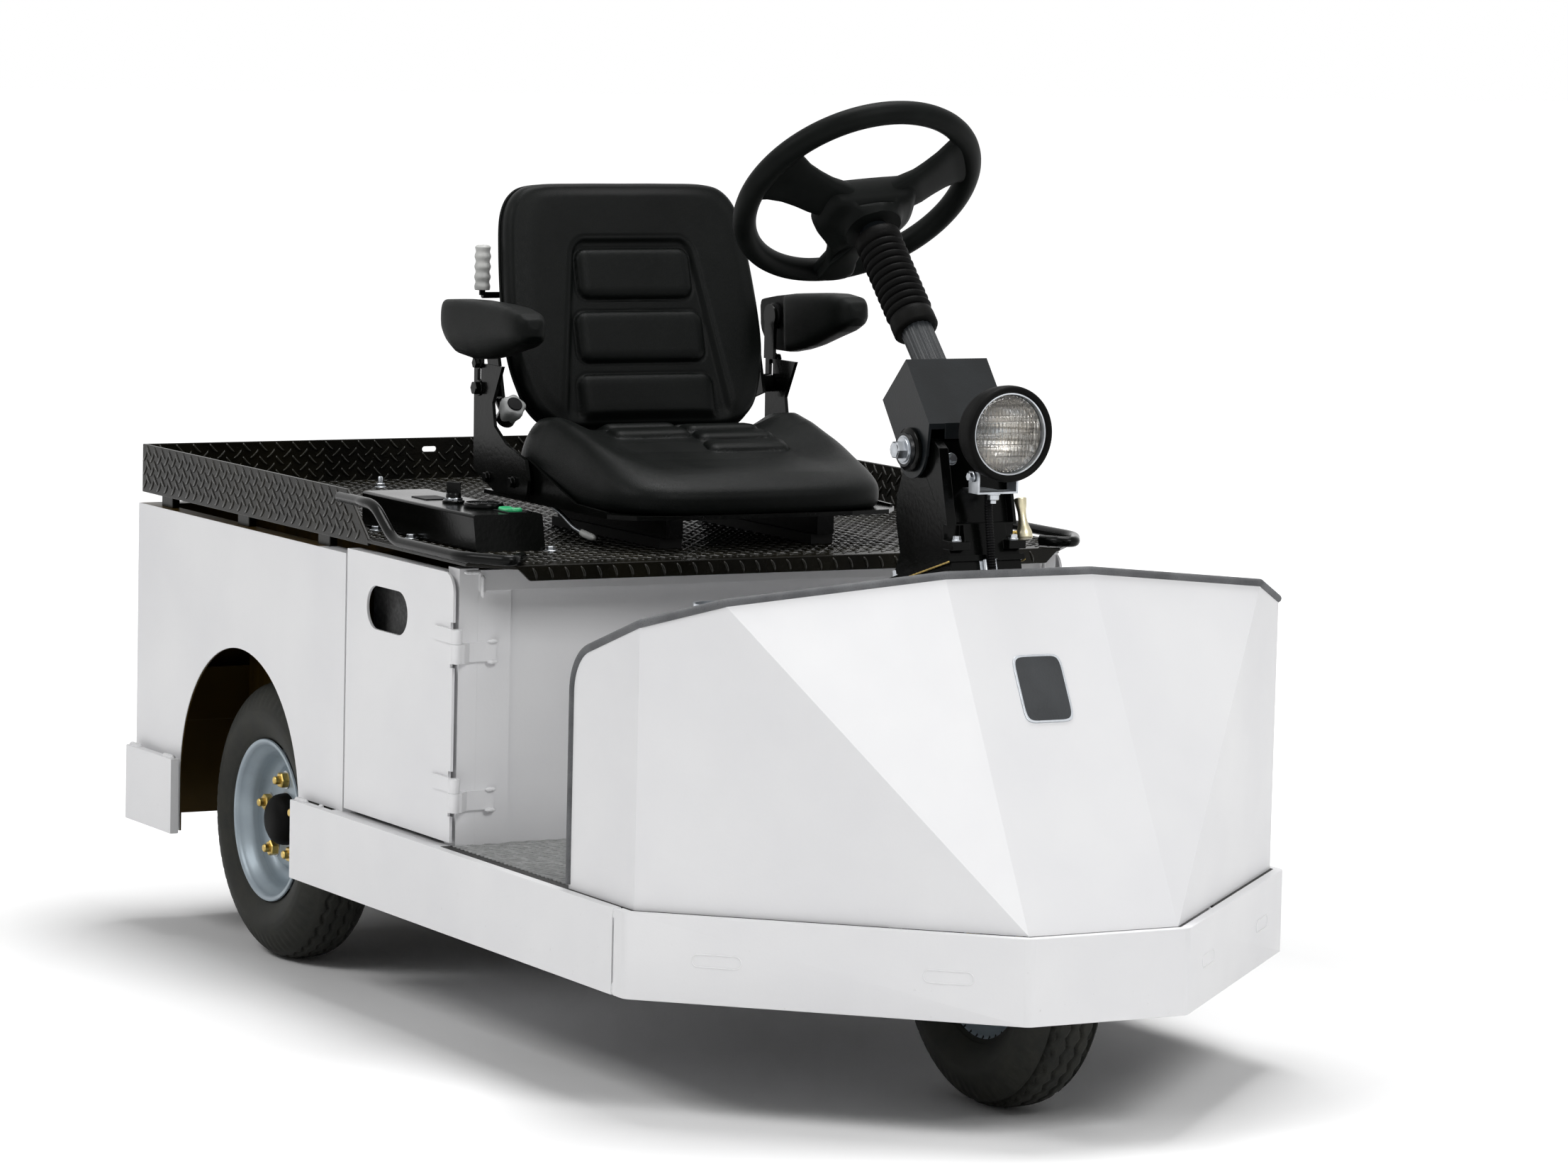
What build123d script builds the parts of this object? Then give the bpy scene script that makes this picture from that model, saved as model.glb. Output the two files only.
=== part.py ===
from build123d import *
import math
import os

# A three-wheel electric tow tractor.  Millimetres.  +X is forward, +Y is to the
# driver's left, +Z is up and z = 0 is the floor.  Every dimension below is taken from
# the rear axle line (x = 0); the finished pieces are moved so that the origin lies under
# the middle of the vehicle.

# ---- driving dimensions: running gear ----------------------------------------------------
WHEELBASE = 1340.0
TYRE_OD = 402.0
TYRE_W = 112.0
TYRE_SIDES = 48
TYRE_SECTION = (
    # in from the widest point, down from the crown
    (2.0, 68.0),
    (0.0, 51.0),
    (6.0, 33.0),
    (15.0, 19.0),
    (28.0, 8.0),
)
RIM_R = 101.6
RIM_FLANGE_R = 115.2
RIM_W = 95.0
FRONT_RIM_W = 62.0
RIM_T = 4.0
RIM_DISH_DEPTH = 32.0
RIM_DISC_DROP = 12.0
RIM_CENTRE_R = 74.0
HUB_R = 37.0
HUB_CAP_OUT = 26.0
STUD_PCD = 114.3
STUD_COUNT = 5
STUD_NUT_R = 9.0
STUD_NUT_H = 13.0
RIM_BEHIND_SIDE = 58.0
DRUM_R = 84.0
DRUM_W = 48.0
AXLE_TUBE_R = 32.0
DIFF_R = 96.0
DIFF_W = 150.0
DIFF_EDGE = 24.0
MOTOR_R = 88.0
MOTOR_NECK_R = 56.0
MOTOR_X0 = 104.0
MOTOR_L = 214.0
RUN_GAP = 6.0
SPRING_W = 44.0
SPRING_GAP = 4.0
SPRING_SEAT = 12.0
LEAF_T = 7.0
LEAF_HALVES = (236.0, 180.0, 124.0, 70.0)
HANGER_XS = (-226.0, 216.0)
HANGER_T = 12.0

# ---- driving dimensions: frame and body --------------------------------------------------
HALF_W = 494.0
FLOOR_Z = 264.0
FLOOR_T = 6.0
PLATE_BOTTOM = 153.0
PLATE_T = 13.0
SKIRT_X0 = 213.0
SKIRT_SHORT = 34.0
WELD_GAP = 5.0
NOSE_AHEAD = 262.0
NOSE_SLANT_L = 361.0
NOSE_HALF_FRONT = 116.0
BEND_R = 18.0
CORNER_PLATE_X0 = -385.0
CORNER_PLATE_X1 = -214.0
CORNER_PAD_IN = 14.0
BODY_X0 = -394.0
BODY_INSET = 20.0
BODY_T = 4.0
BODY_TOP = 624.5
BODY_BOTTOM = 155.0
FLANGE_W = 28.0
ARCH_X = -15.0
ARCH_R = 213.5
ARCH_Z = 236.0
DOOR_X0 = 350.0
DOOR_L = 338.5
DOOR_LIFT = 6.0
DOOR_Z1 = 632.0
DOOR_CORNER_R = 26.0
DOOR_FOLD = 16.0
DOOR_GAP = 5.0
HINGE_AHEAD = 13.5
HINGE_OUT = 1.0
HINGE_R = 8.0
HINGE_PIN_R = 4.5
HINGE_FIT = 0.3
HINGE_BAR_T = 4.0
HINGE_H = 26.0
HINGE_NOTCH = 8.0
STRAP_H = 19.0
STRAP_L = 52.0
HINGE_ZS = (513.0, 313.0)
HAND_SLOT_X = 481.0
HAND_SLOT_Z = 560.0
HAND_SLOT_L = 131.0
HAND_SLOT_H = 60.0
BULKHEAD_X = 686.0
BULKHEAD_RECESS = 10.0
POST_INSET = 30.0
POST_W = 28.0
POST_L = 34.0
POST_TOP = 638.0
STILE_W = 49.0
HEADER_Z0 = 608.0
HEADER_Z1 = 636.0
HEADER_T = 6.0
RAIL_FROM_WELL = 97.0
RAIL_W = 42.0
RAIL_H = 80.0
RAIL_WALL = 5.0
RAIL_REAR_TOP = 380.0
RAIL_STEP_X = 180.0
RAIL_STEP_RUN = 120.0
CROSS_W = 40.0
WELL_FROM_RIM = 125.0
WELL_T = 3.0
BATTERY_GAP = 24.0
BATTERY_TOP = 598.0

# ---- driving dimensions: deck ------------------------------------------------------------
DECK_TOP = 649.0
DECK_T = 5.0
DECK_INSET = 25.0
DECK_LIP_X = 767.0
DECK_LIP_H = 21.0
DECK_CORNER_RUN = 52.0
DECK_CORNER_IN = 48.0
DECK_LIP_SLANT = 22.0
WALL_TOP = 712.0
WALL_BOTTOM = 640.6
WALL_END_TOP_X = 333.0
WALL_END_LOW_X = 405.0
REAR_SLOT_Z = 694.5
REAR_SLOT_L = 24.0
REAR_SLOT_H = 8.0
SPACER_XS = (-340.0, -60.0, 220.0)
TUBE_R = 11.0
TUBE_Z = 661.0
TUBE_TOP_Z = 703.0
TUBE_DROP_X = 438.0
TUBE_LOW_X = 505.0
TUBE_TIP_AHEAD = 21.0
TUBE_TIP_OUT = 15.0
TUBE_BEND_R = 26.0
CONSOLE_X0 = 236.0
CONSOLE_L = 368.0
CONSOLE_W = 104.0
CONSOLE_H = 50.0
CONSOLE_SLANT = 12.0
CONSOLE_FROM_WALL = 69.0
KEY_BACK = 174.0
KEY_R = 13.0
KEY_L = 22.0
GAUGE_BACK = 104.0
GAUGE_R = 26.0
ROCKER_BACK = 42.0
ROCKER_L = 40.0
ROCKER_W = 20.0

# ---- driving dimensions: nose ------------------------------------------------------------
COWL_INSET = 17.0
COWL_T = 3.0
COWL_SIDE_L = 191.0
COWL_SIDE_TOP_Z = 627.0
COWL_SIDE_SLOPE = 0.336
COWL_CORNER_R = 64.0
COWL_SHOULDER_BACK = 294.0
COWL_SHOULDER_Z = 658.0
COWL_CREST_BACK = 247.0
COWL_CREST_Y = 108.0
COWL_CREST_Z = 688.5
TRIM_R = 5.5
CUP_FROM_SIDE = 82.0
CUP_Z = 649.0
CUP_R = 29.0
CUP_STAND = 5.5
CUP_BAR_HALF = 9.0

# ---- driving dimensions: front wheel, fork and steering head -----------------------------
RAKE = 16.4
WELL_ROOM = 33.0
WELL_BEHIND = 27.0
WELL_PLATE_T = 5.0
WELL_FRONT = 104.0
WELL_NOSE_H = 90.0
FORK_CLEAR = 14.0
FORK_LEG_T = 16.0
FORK_LEG_W = 58.0
CROWN_T = 24.0
CROWN_L = 96.0
STEM_R = 22.0
HEAD_R = 46.0
HEAD_FLANGE = 26.0
HEAD_FIT = 0.4
BOX_TOP_D = 501.0
BOX_L = 152.0
BOX_HALF_W = 52.0
BOX_H = 70.0
BOX_PLATE_T = 8.0
BOX_PLATE_EDGE = 4.0
AXLE_R = 10.0
AXLE_NUT_R = 18.0

# ---- driving dimensions: tower, column and steering wheel --------------------------------
TOWER_HALF_W = 52.0
TOWER_T = 5.0
TOWER_TOP_AHEAD = 56.0
TOWER_SHOULDER = 6.0
TOWER_CHEEK = (
    # forward of the pivot, above the pivot
    (44.0, 14.0),
    (8.0, 24.0),
    (-26.0, 10.0),
    (-36.0, -33.0),
    (-50.0, -67.0),
    (-50.0, -97.0),
    (-38.0, -138.0),
)
TOWER_STRIP = 14.0
TOWER_RECESS = 14.0
TOWER_PANEL_RISE = 40.0
TOWER_FOOT_H = 11.0
TOWER_FOOT_OUT = 14.0
TOWER_FOOT_W = 25.0
POCKET_H = 19.0
POCKET_W = 24.0
PIVOT_BACK = 18.55
PIVOT_RISE = 150.39
PIVOT_R = 6.0
EAR_R = 37.0
HEAD_HALF_W = 60.5
HEAD_CORNERS = (
    # forward of the pivot, above the pivot
    (-20.0, 115.0),
    (-78.0, 58.0),
    (-41.0, 9.5),
    (-37.0, -6.0),
    (38.0, -6.0),
    (44.0, 37.0),
)
COLUMN_TILT = 44.0
WHEEL_BACK = 265.0
WHEEL_RISE = 318.0
WHEEL_R = 158.5
WHEEL_GRIP_R = 14.5
WHEEL_GRIP_SIDES = 12
WHEEL_TURN = -7.0
COLUMN_R = 19.0
COLUMN_LEN = 318.0
BOOT_R = 31.0
BOOT_TOP = 100.0
BOOT_RIBS = 10
BOOT_PITCH = 11.3
HUB_DEPTH = 66.0
HUB_TOP = 12.0
HUB_SKIRT = 38.0
HUB_COLLAR_R = 40.0
HUB_OUTLINE = (
    # up the wheel, to the side
    (44.0, 62.0),
    (-18.0, 70.0),
    (-54.0, 47.0),
    (-100.0, 21.0),
    (-148.0, 21.0),
)
SPOKE_ANGLE = 67.0
SPOKE_W = 58.0

# ---- driving dimensions: lamp ------------------------------------------------------------
LAMP_AHEAD = 119.0
LAMP_RISE = 31.0
LAMP_R = 62.0
LAMP_DEPTH = 62.0
LENS_R = 51.0
YOKE_HALF_W = 30.0
YOKE_T = 3.0
YOKE_DROP = 14.0
YOKE_L = 24.0
CONDUIT_R = 5.2
CONDUIT_BEND_R = 60.0
CONDUIT_ROUTE = (
    # ahead of the tower's front edge, below the yoke
    (26.0, 0.0),
    (26.0, 20.0),
    (30.0, 46.0),
    (36.0, 76.0),
    (40.0, 108.0),
)
GRIP_BELOW_PIVOT = 103.0
GRIP_ROD_BACK = 20.0
GRIP_OUT = 14.0
GRIP_R = 11.0

# ---- driving dimensions: seat ------------------------------------------------------------
SEAT_RAIL_Y = 118.0
SEAT_RAIL_X0 = 300.0
SEAT_RAIL_L = 330.0
SEAT_RAIL_HALF = 17.0
SEAT_RAIL_H = 14.0
SLIDE_HALF = 13.0
SLIDE_SHIFT = 10.0
PAN_Z = 700.0
PAN_T = 6.0
PAN_HALF_W = 224.0
PAN_X0 = 262.0
PAN_X1 = 690.0
PAN_CORNER = 46.0
PAN_LIP_T = 4.0
PAN_LIP = (
    # x from the rear edge, height above the pan
    (38.0, 0.0),
    (38.0, 56.0),
    (131.0, 56.0),
    (284.0, 6.0),
    (378.0, 3.0),
    (378.0, 0.0),
)
CUSHION_REAR_X = 362.0
CUSHION_TOP = 772.0
CUSHION_BOLSTER = 36.0
CUSHION_BOLSTER_W = 52.0
CUSHION_LIP = 4.0
RECLINE_X = 266.0
RECLINE_Z = 843.0
RECLINE_BOSS_R = 13.0
BACK_FROM_RECLINE_X = 74.0
BACK_FROM_RECLINE_Z = 53.0
BACK_LEAN = 16.7
BACK_HALF = 200.0
BACK_LEN = 358.0
BACK_T = 28.0
SHELL_T = 38.0
SHELL_SCALE = 0.86
BACK_OUTLINE = (
    # share of the half width, share of the height
    (0.62, 0.0),
    (0.975, 0.235),
    (1.0, 0.35),
    (0.97, 0.68),
    (0.875, 0.9),
    (0.65, 1.0),
)
FRAME_OUT = 6.0
FRAME_T = 5.0
FRAME_W = 36.0
FRAME_BAR_UP = 92.0
KNOB_X = 327.0
KNOB_Y = 211.0
KNOB_Z = 823.0
KNOB_R = 14.0
KNOB_L = 36.0
GRIP_ROD_R = 4.5
LEVER_R = 9.5
LEVER_H = 60.0
LEVER_UP = 46.0
LEVER_REACH = 56.0
BRACKET_T = 5.0
BRACKET_Y = 231.0
BRACKET_OUTLINE = (
    # forward of the recline bolt, above it
    (-18.0, 35.0),
    (71.0, 35.0),
    (42.0, -18.0),
    (49.0, -50.0),
    (86.0, -72.0),
    (148.0, -89.0),
    (159.0, -117.0),
    (155.0, -138.0),
    (52.0, -141.0),
    (-15.0, -115.0),
)
LUG_R = 17.0
ARM_PIVOT_DX = -9.0
ARM_PIVOT_DZ = 96.0
ARM_Y = 255.0
ARM_W = 52.0
ARM_GAP = 5.0
ARM_PIN_R = 6.0
ARM_LEFT_TILT = 5.0
ARM_CUT_L = 28.0
ARM_OUTLINE = (
    # forward of the pivot, above the pivot
    (-50.0, 17.0),
    (-38.0, 24.0),
    (60.0, 31.0),
    (170.0, 28.0),
    (212.0, 20.0),
    (223.0, 4.0),
    (212.0, -20.0),
    (178.0, -30.0),
    (112.0, -46.0),
    (38.0, -53.0),
    (-8.0, -50.0),
    (-38.0, -34.0),
)
SOFT_GAP = 0.3

# ---- driving dimensions: hitch, tail lamps, pedals ---------------------------------------
HITCH_REACH = 84.0
HITCH_Z = 330.0
HITCH_PLATE_T = 12.0
HITCH_HALF_W = 90.0
HITCH_HALF_H = 70.0
HITCH_JAW_T = 14.0
HITCH_JAW_GAP = 50.0
HITCH_PIN_R = 13.0
HITCH_PIN_FROM_END = 26.0
TAIL_LAMP_IN = 94.0
TAIL_LAMP_Z = 540.0
TAIL_LAMP_R = 42.0
TAIL_LAMP_OUT = 22.0
PEDALS = (
    # y, width, lower edge's drop from the wheel well's top
    (-120.0, 66.0, 89.3),
    (60.0, 84.0, 71.3),
)
PEDAL_H = 96.0
PEDAL_LEAN = 36.0
PEDAL_T = 6.0
PEDAL_REACH = 67.0

# ---- worked out from the above -----------------------------------------------------------
AXLE_Z = TYRE_OD / 2
NOSE_X = WHEELBASE + NOSE_AHEAD
NOSE_BEND_X = NOSE_X - NOSE_SLANT_L
SKIRT_X1 = NOSE_BEND_X - SKIRT_SHORT
COWL_X0 = NOSE_BEND_X - COWL_SIDE_L
COWL_SHOULDER_X = NOSE_X - COWL_SHOULDER_BACK
COWL_CREST_X = NOSE_X - COWL_CREST_BACK
BODY_HALF_W = HALF_W - BODY_INSET
DECK_HALF_W = HALF_W - DECK_INSET
DECK_LIP_HALF = DECK_HALF_W - DECK_CORNER_IN
POST_HALF_W = HALF_W - POST_INSET
DOOR_X1 = DOOR_X0 + DOOR_L
DOOR_Z0 = FLOOR_Z + DOOR_LIFT
HINGE_X = DOOR_X1 + HINGE_AHEAD
HINGE_Y = BODY_HALF_W + HINGE_OUT
REAR_FLANGE_Y = HALF_W - RIM_BEHIND_SIDE
REAR_STUD_Y = REAR_FLANGE_Y - RIM_DISH_DEPTH
REAR_TYRE_Y = REAR_FLANGE_Y - RIM_W / 2
WELL_Y = REAR_FLANGE_Y - WELL_FROM_RIM
RAIL_Y = WELL_Y - RAIL_FROM_WELL
MOTOR_X1 = MOTOR_X0 + MOTOR_L
WELL_HALF_W = TYRE_OD / 2 + WELL_ROOM
WELL_X0 = WHEELBASE - TYRE_OD / 2 - WELL_BEHIND
WELL_TOP_D = TYRE_OD / 2 + FORK_CLEAR + CROWN_T + RUN_GAP
REAR_X = BODY_X0 - HITCH_REACH
MID_X = (NOSE_X + REAR_X) / 2
HITCH_PIN_X = REAR_X + HITCH_PIN_FROM_END
ARM_PIVOT_X = RECLINE_X + ARM_PIVOT_DX
ARM_PIVOT_Z = RECLINE_Z + ARM_PIVOT_DZ
SIDES = (("right", -1), ("left", 1))
RAKE_DIR = (-math.sin(math.radians(RAKE)), 0, math.cos(math.radians(RAKE)))
PIVOT_X = WHEELBASE + RAKE_DIR[0] * BOX_TOP_D - PIVOT_BACK
PIVOT_Z = AXLE_Z + RAKE_DIR[2] * BOX_TOP_D + PIVOT_RISE
WHEEL_X = PIVOT_X - WHEEL_BACK
WHEEL_Z = PIVOT_Z + WHEEL_RISE
LAMP_X = PIVOT_X + LAMP_AHEAD
LAMP_Z = PIVOT_Z + LAMP_RISE
STEER = Plane(
    origin=(WHEELBASE, 0, AXLE_Z),
    x_dir=(math.cos(math.radians(RAKE)), 0, math.sin(math.radians(RAKE))),
    z_dir=RAKE_DIR,
)
COLUMN = Plane(
    origin=(WHEEL_X, 0, WHEEL_Z),
    x_dir=(math.cos(math.radians(COLUMN_TILT)), 0, math.sin(math.radians(COLUMN_TILT))),
    z_dir=(-math.sin(math.radians(COLUMN_TILT)), 0, math.cos(math.radians(COLUMN_TILT))),
)
BACK = Plane(
    origin=(RECLINE_X + BACK_FROM_RECLINE_X, 0, RECLINE_Z - BACK_FROM_RECLINE_Z),
    x_dir=(math.cos(math.radians(BACK_LEAN)), 0, math.sin(math.radians(BACK_LEAN))),
    z_dir=(-math.sin(math.radians(BACK_LEAN)), 0, math.cos(math.radians(BACK_LEAN))),
)


# ---- helpers -----------------------------------------------------------------------------
def block(x0, x1, y0, y1, z0, z1):
    """A box between two corners."""
    return Pos((x0 + x1) / 2, (y0 + y1) / 2, (z0 + z1) / 2) * Box(x1 - x0, y1 - y0, z1 - z0)


def side_slab(points, y0, y1):
    """A side outline of (x, z) points, extruded from y0 to y1."""
    face = make_face(Polyline(*[(x, y0, z) for x, z in points], close=True))
    return extrude(face, amount=y1 - y0, dir=(0, 1, 0))


def plan_slab(points, z0, z1):
    """A plan outline of (x, y) points, extruded from z0 to z1."""
    face = make_face(Polyline(*[(x, y, z0) for x, y in points], close=True))
    return extrude(face, amount=z1 - z0, dir=(0, 0, 1))


def rod(start, end, radius):
    """A round bar between two points."""
    a = Vector(*start)
    b = Vector(*end)
    return Plane(origin=(a + b) / 2, z_dir=b - a).location * Cylinder(radius, (b - a).length)


def spin(profile):
    """Turns a closed (y, radius) profile about the Y axis."""
    face = make_face(Polyline(*[(r, y, 0) for y, r in profile], close=True))
    return revolve(face, axis=Axis.Y)


def spin_x(profile):
    """Turns a closed (x, radius) profile about the X axis."""
    face = make_face(Polyline(*[(x, r, 0) for x, r in profile], close=True))
    return revolve(face, axis=Axis.X)


def spin_z(profile):
    """Turns a closed (radius, z) profile about the Z axis."""
    face = make_face(Polyline(*[(r, 0, z) for r, z in profile], close=True))
    return revolve(face, axis=Axis.Z)


def both(shape):
    """The shape and its mirror image on the other side."""
    return shape + mirror(shape, about=Plane.XZ)


def pipe(points, bend_r, radius):
    """A round tube along straight runs joined by arcs."""
    path = FilletPolyline(*points, radius=bend_r)
    start = path @ 0
    return sweep(Plane(origin=start, z_dir=path % 0) * Circle(radius), path=path)


def shifted(table, x, z):
    """The (x, z) points of a table whose columns are measured from a given point."""
    return [(x + dx, z + dz) for dx, dz in table]


def mirrored(points):
    """A half outline of (u, y) points, closed by its mirror image across y = 0."""
    return [(u, y) for u, y in points] + [(u, -y) for u, y in reversed(points)]


def nose_outline(inset):
    """Side, slant and front of the nose in plan, moved inward by the inset.

    Gives (bend x, side y) and (front x, front half width)."""
    run_x = NOSE_X - NOSE_BEND_X
    run_y = HALF_W - NOSE_HALF_FRONT
    length = math.hypot(run_x, run_y)
    nx = run_y / length
    ny = run_x / length
    reach = nx * NOSE_X + ny * NOSE_HALF_FRONT - inset
    side_y = HALF_W - inset
    front_x = NOSE_X - inset
    return ((reach - ny * side_y) / nx, side_y), (front_x, (reach - nx * front_x) / ny)


def slant_x(inset, y):
    """Where the nose's slanted side, moved inward by the inset, crosses a given half width."""
    (bend_x, side_y), (front_x, front_y) = nose_outline(inset)
    return front_x - (y - front_y) * (front_x - bend_x) / (side_y - front_y)


# ---- wheels ------------------------------------------------------------------------------
def tyre(rim_w):
    """Balloon tyre about the Y axis: flat-sided rings lofted from bead to bead."""
    half = TYRE_W / 2
    crown = TYRE_OD / 2
    side = [(rim_w / 2 - RIM_T, RIM_FLANGE_R + 2)]
    side += [(half - inward, crown - down) for inward, down in TYRE_SECTION]
    section = [(-y, r) for y, r in side] + [(0, crown)] + list(reversed(side))
    rings = []
    for y, radius in section:
        ring = Plane(origin=(0, y, 0), x_dir=(0, 0, -1), z_dir=(0, 1, 0))
        rings.append(ring * RegularPolygon(radius, TYRE_SIDES))
    return loft(rings, ruled=True) - Rot(90, 0, 0) * Cylinder(RIM_R, TYRE_W)


def rim(rim_w, hub_in):
    """Dished disc wheel about the Y axis with its outer flange at +y, studs and hub.

    The hub reaches inward to the given y."""
    half = rim_w / 2
    face_y = half - RIM_DISH_DEPTH
    inside = RIM_R - RIM_T
    t = RIM_T
    barrel = [
        (-half, RIM_FLANGE_R), (-half, inside), (half - t, inside), (half, RIM_FLANGE_R - t),
        (half, RIM_FLANGE_R), (half - t, RIM_FLANGE_R), (half - t, RIM_R), (-half + t, RIM_R),
        (-half + t, RIM_FLANGE_R),
    ]
    foot_y = face_y - RIM_DISC_DROP
    disc = [
        (face_y, HUB_R), (face_y, RIM_CENTRE_R), (foot_y, inside + 1), (foot_y - t, inside + 1),
        (face_y - t, RIM_CENTRE_R - 2), (face_y - t, HUB_R),
    ]
    cap_y = face_y + HUB_CAP_OUT
    bore_r = AXLE_R + 8
    cap = [(hub_in, bore_r), (hub_in, HUB_R), (cap_y - 8, HUB_R), (cap_y, HUB_R - 10), (cap_y, bore_r)]
    solid = spin(barrel) + spin(disc) + spin(cap)
    for k in range(STUD_COUNT):
        angle = math.radians(360 / STUD_COUNT * k + 90)
        x = STUD_PCD / 2 * math.cos(angle)
        z = STUD_PCD / 2 * math.sin(angle)
        solid += rod((x, face_y - t, z), (x, face_y + STUD_NUT_H, z), STUD_NUT_R)
    return solid


def rear_rim():
    """The rim with its brake drum and closed hub."""
    face_y = RIM_W / 2 - RIM_DISH_DEPTH
    drum_y1 = face_y - RIM_T
    drum_y0 = drum_y1 - DRUM_W
    drum = [(drum_y1, 0), (drum_y1, DRUM_R - 6), (drum_y1 - 5, DRUM_R), (drum_y0, DRUM_R), (drum_y0, 0)]
    cap_y = face_y + HUB_CAP_OUT
    plug = [(drum_y1, 0), (drum_y1, AXLE_R + 8), (cap_y, AXLE_R + 8), (cap_y + 3, 0)]
    return rim(RIM_W, drum_y0) + spin(drum) + spin(plug)


def rear_wheel_parts(side):
    """The tyre and rim of one rear wheel; side is -1 on the right, 1 on the left."""
    place = Pos(0, side * REAR_TYRE_Y, AXLE_Z)
    turn = Rot(0, 0, 0) if side > 0 else Rot(0, 0, 180)
    return place * turn * tyre(RIM_W), place * turn * rear_rim()


# ---- under-frame -------------------------------------------------------------------------
def frame_rails():
    """Two channel rails that kick up over the rear axle, their cross members and the tray."""
    top = FLOOR_Z - FLOOR_T
    kick_x = RAIL_STEP_X + RAIL_STEP_RUN
    front_x = WELL_X0 - WELL_PLATE_T
    rear_x = BODY_X0 + BODY_T
    outline = [
        (rear_x, RAIL_REAR_TOP), (RAIL_STEP_X, RAIL_REAR_TOP), (kick_x, top), (front_x, top),
        (front_x, top - RAIL_H), (kick_x - 20, top - RAIL_H),
        (RAIL_STEP_X - 20, RAIL_REAR_TOP - RAIL_H), (rear_x, RAIL_REAR_TOP - RAIL_H),
    ]
    wall = RAIL_WALL
    pocket = [
        (rear_x - 1, RAIL_REAR_TOP - wall), (RAIL_STEP_X - 2, RAIL_REAR_TOP - wall),
        (kick_x - 2, top - wall), (front_x + 1, top - wall),
        (front_x + 1, top - RAIL_H + wall), (kick_x - 18, top - RAIL_H + wall),
        (RAIL_STEP_X - 18, RAIL_REAR_TOP - RAIL_H + wall),
        (rear_x - 1, RAIL_REAR_TOP - RAIL_H + wall),
    ]
    y0 = RAIL_Y
    y1 = RAIL_Y + RAIL_W
    rail = side_slab(outline, y0, y1) - side_slab(pocket, y0 - 1, y1 - wall)
    frame = both(rail)
    reach = HALF_W - PLATE_T
    for x in (kick_x + 20, BULKHEAD_X - CROSS_W - 8, front_x - CROSS_W):
        frame += block(x, x + CROSS_W, -reach, reach, top - RAIL_H, top)
    frame += block(MOTOR_X1 + RUN_GAP, BULKHEAD_X - BULKHEAD_RECESS, -reach, reach, top, FLOOR_Z)
    inner = BODY_HALF_W - BODY_T
    frame += block(rear_x, rear_x + CROSS_W, -inner, inner, RAIL_REAR_TOP - RAIL_H, RAIL_REAR_TOP)
    return frame


def floor_plate():
    """Footwell floor, running forward to the nose plate on both sides of the wheel well."""
    (bend_x, _), (front_x, front_y) = nose_outline(PLATE_T)
    reach = HALF_W - PLATE_T
    rear_x = BULKHEAD_X - BULKHEAD_RECESS
    outline = [
        (rear_x, -reach), (bend_x, -reach), (front_x, -front_y), (front_x, front_y),
        (bend_x, reach), (rear_x, reach),
    ]
    plate = plan_slab(outline, FLOOR_Z - FLOOR_T, FLOOR_Z)
    opening = WELL_HALF_W + WELL_PLATE_T
    return plate - block(WELL_X0 - WELL_PLATE_T, front_x + 1, -opening, opening, 0, FLOOR_Z + 1)


def side_plates():
    """The heavy plates along both sides below the floor, and the rear corner plates."""
    y1 = HALF_W
    y0 = y1 - PLATE_T
    skirt = block(SKIRT_X0, SKIRT_X1, y0, y1, PLATE_BOTTOM, FLOOR_Z)
    x0 = CORNER_PLATE_X0
    x1 = CORNER_PLATE_X1
    plate = block(x0, x1, y0, y1, PLATE_BOTTOM, FLOOR_Z)
    inward = CORNER_PAD_IN
    pad = block(x0 + inward, x1 - inward, BODY_HALF_W, y0, PLATE_BOTTOM + inward, FLOOR_Z - inward)
    return both(skirt + plate + pad)


def nose_plate():
    """The bent bumper plate round the nose."""
    (bend_x, side_y), (front_x, front_y) = nose_outline(0)
    (in_bend_x, in_side_y), (in_front_x, in_front_y) = nose_outline(PLATE_T)
    start_x = SKIRT_X1 + WELD_GAP
    outline = [
        (start_x, -side_y), (bend_x, -side_y), (front_x, -front_y), (front_x, front_y),
        (bend_x, side_y), (start_x, side_y), (start_x, in_side_y), (in_bend_x, in_side_y),
        (in_front_x, in_front_y), (in_front_x, -in_front_y), (in_bend_x, -in_side_y),
        (start_x, -in_side_y),
    ]
    plate = plan_slab(outline, PLATE_BOTTOM, FLOOR_Z)
    bends = [(bend_x, side_y), (bend_x, -side_y), (front_x, front_y), (front_x, -front_y)]
    edges = []
    for edge in plate.edges().filter_by(Axis.Z):
        centre = edge.center()
        for x, y in bends:
            if math.hypot(centre.X - x, centre.Y - y) < 1:
                edges.append(edge)
    return fillet(edges, BEND_R)


# ---- nose cowl ---------------------------------------------------------------------------
def facet(points, thickness):
    """A flat sheet panel with its outer corners given, thickened toward the inside."""
    corners = [Vector(*p) for p in points]
    normal = (corners[1] - corners[0]).cross(corners[2] - corners[0]).normalized()
    centre = Vector((COWL_X0 + NOSE_X) / 2, 0, (FLOOR_Z + COWL_SIDE_TOP_Z) / 2)
    if normal.dot(centre - corners[0]) < 0:
        normal = normal * -1
    face = make_face(Polyline(*corners, close=True))
    return extrude(face, amount=thickness, dir=normal)


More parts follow.
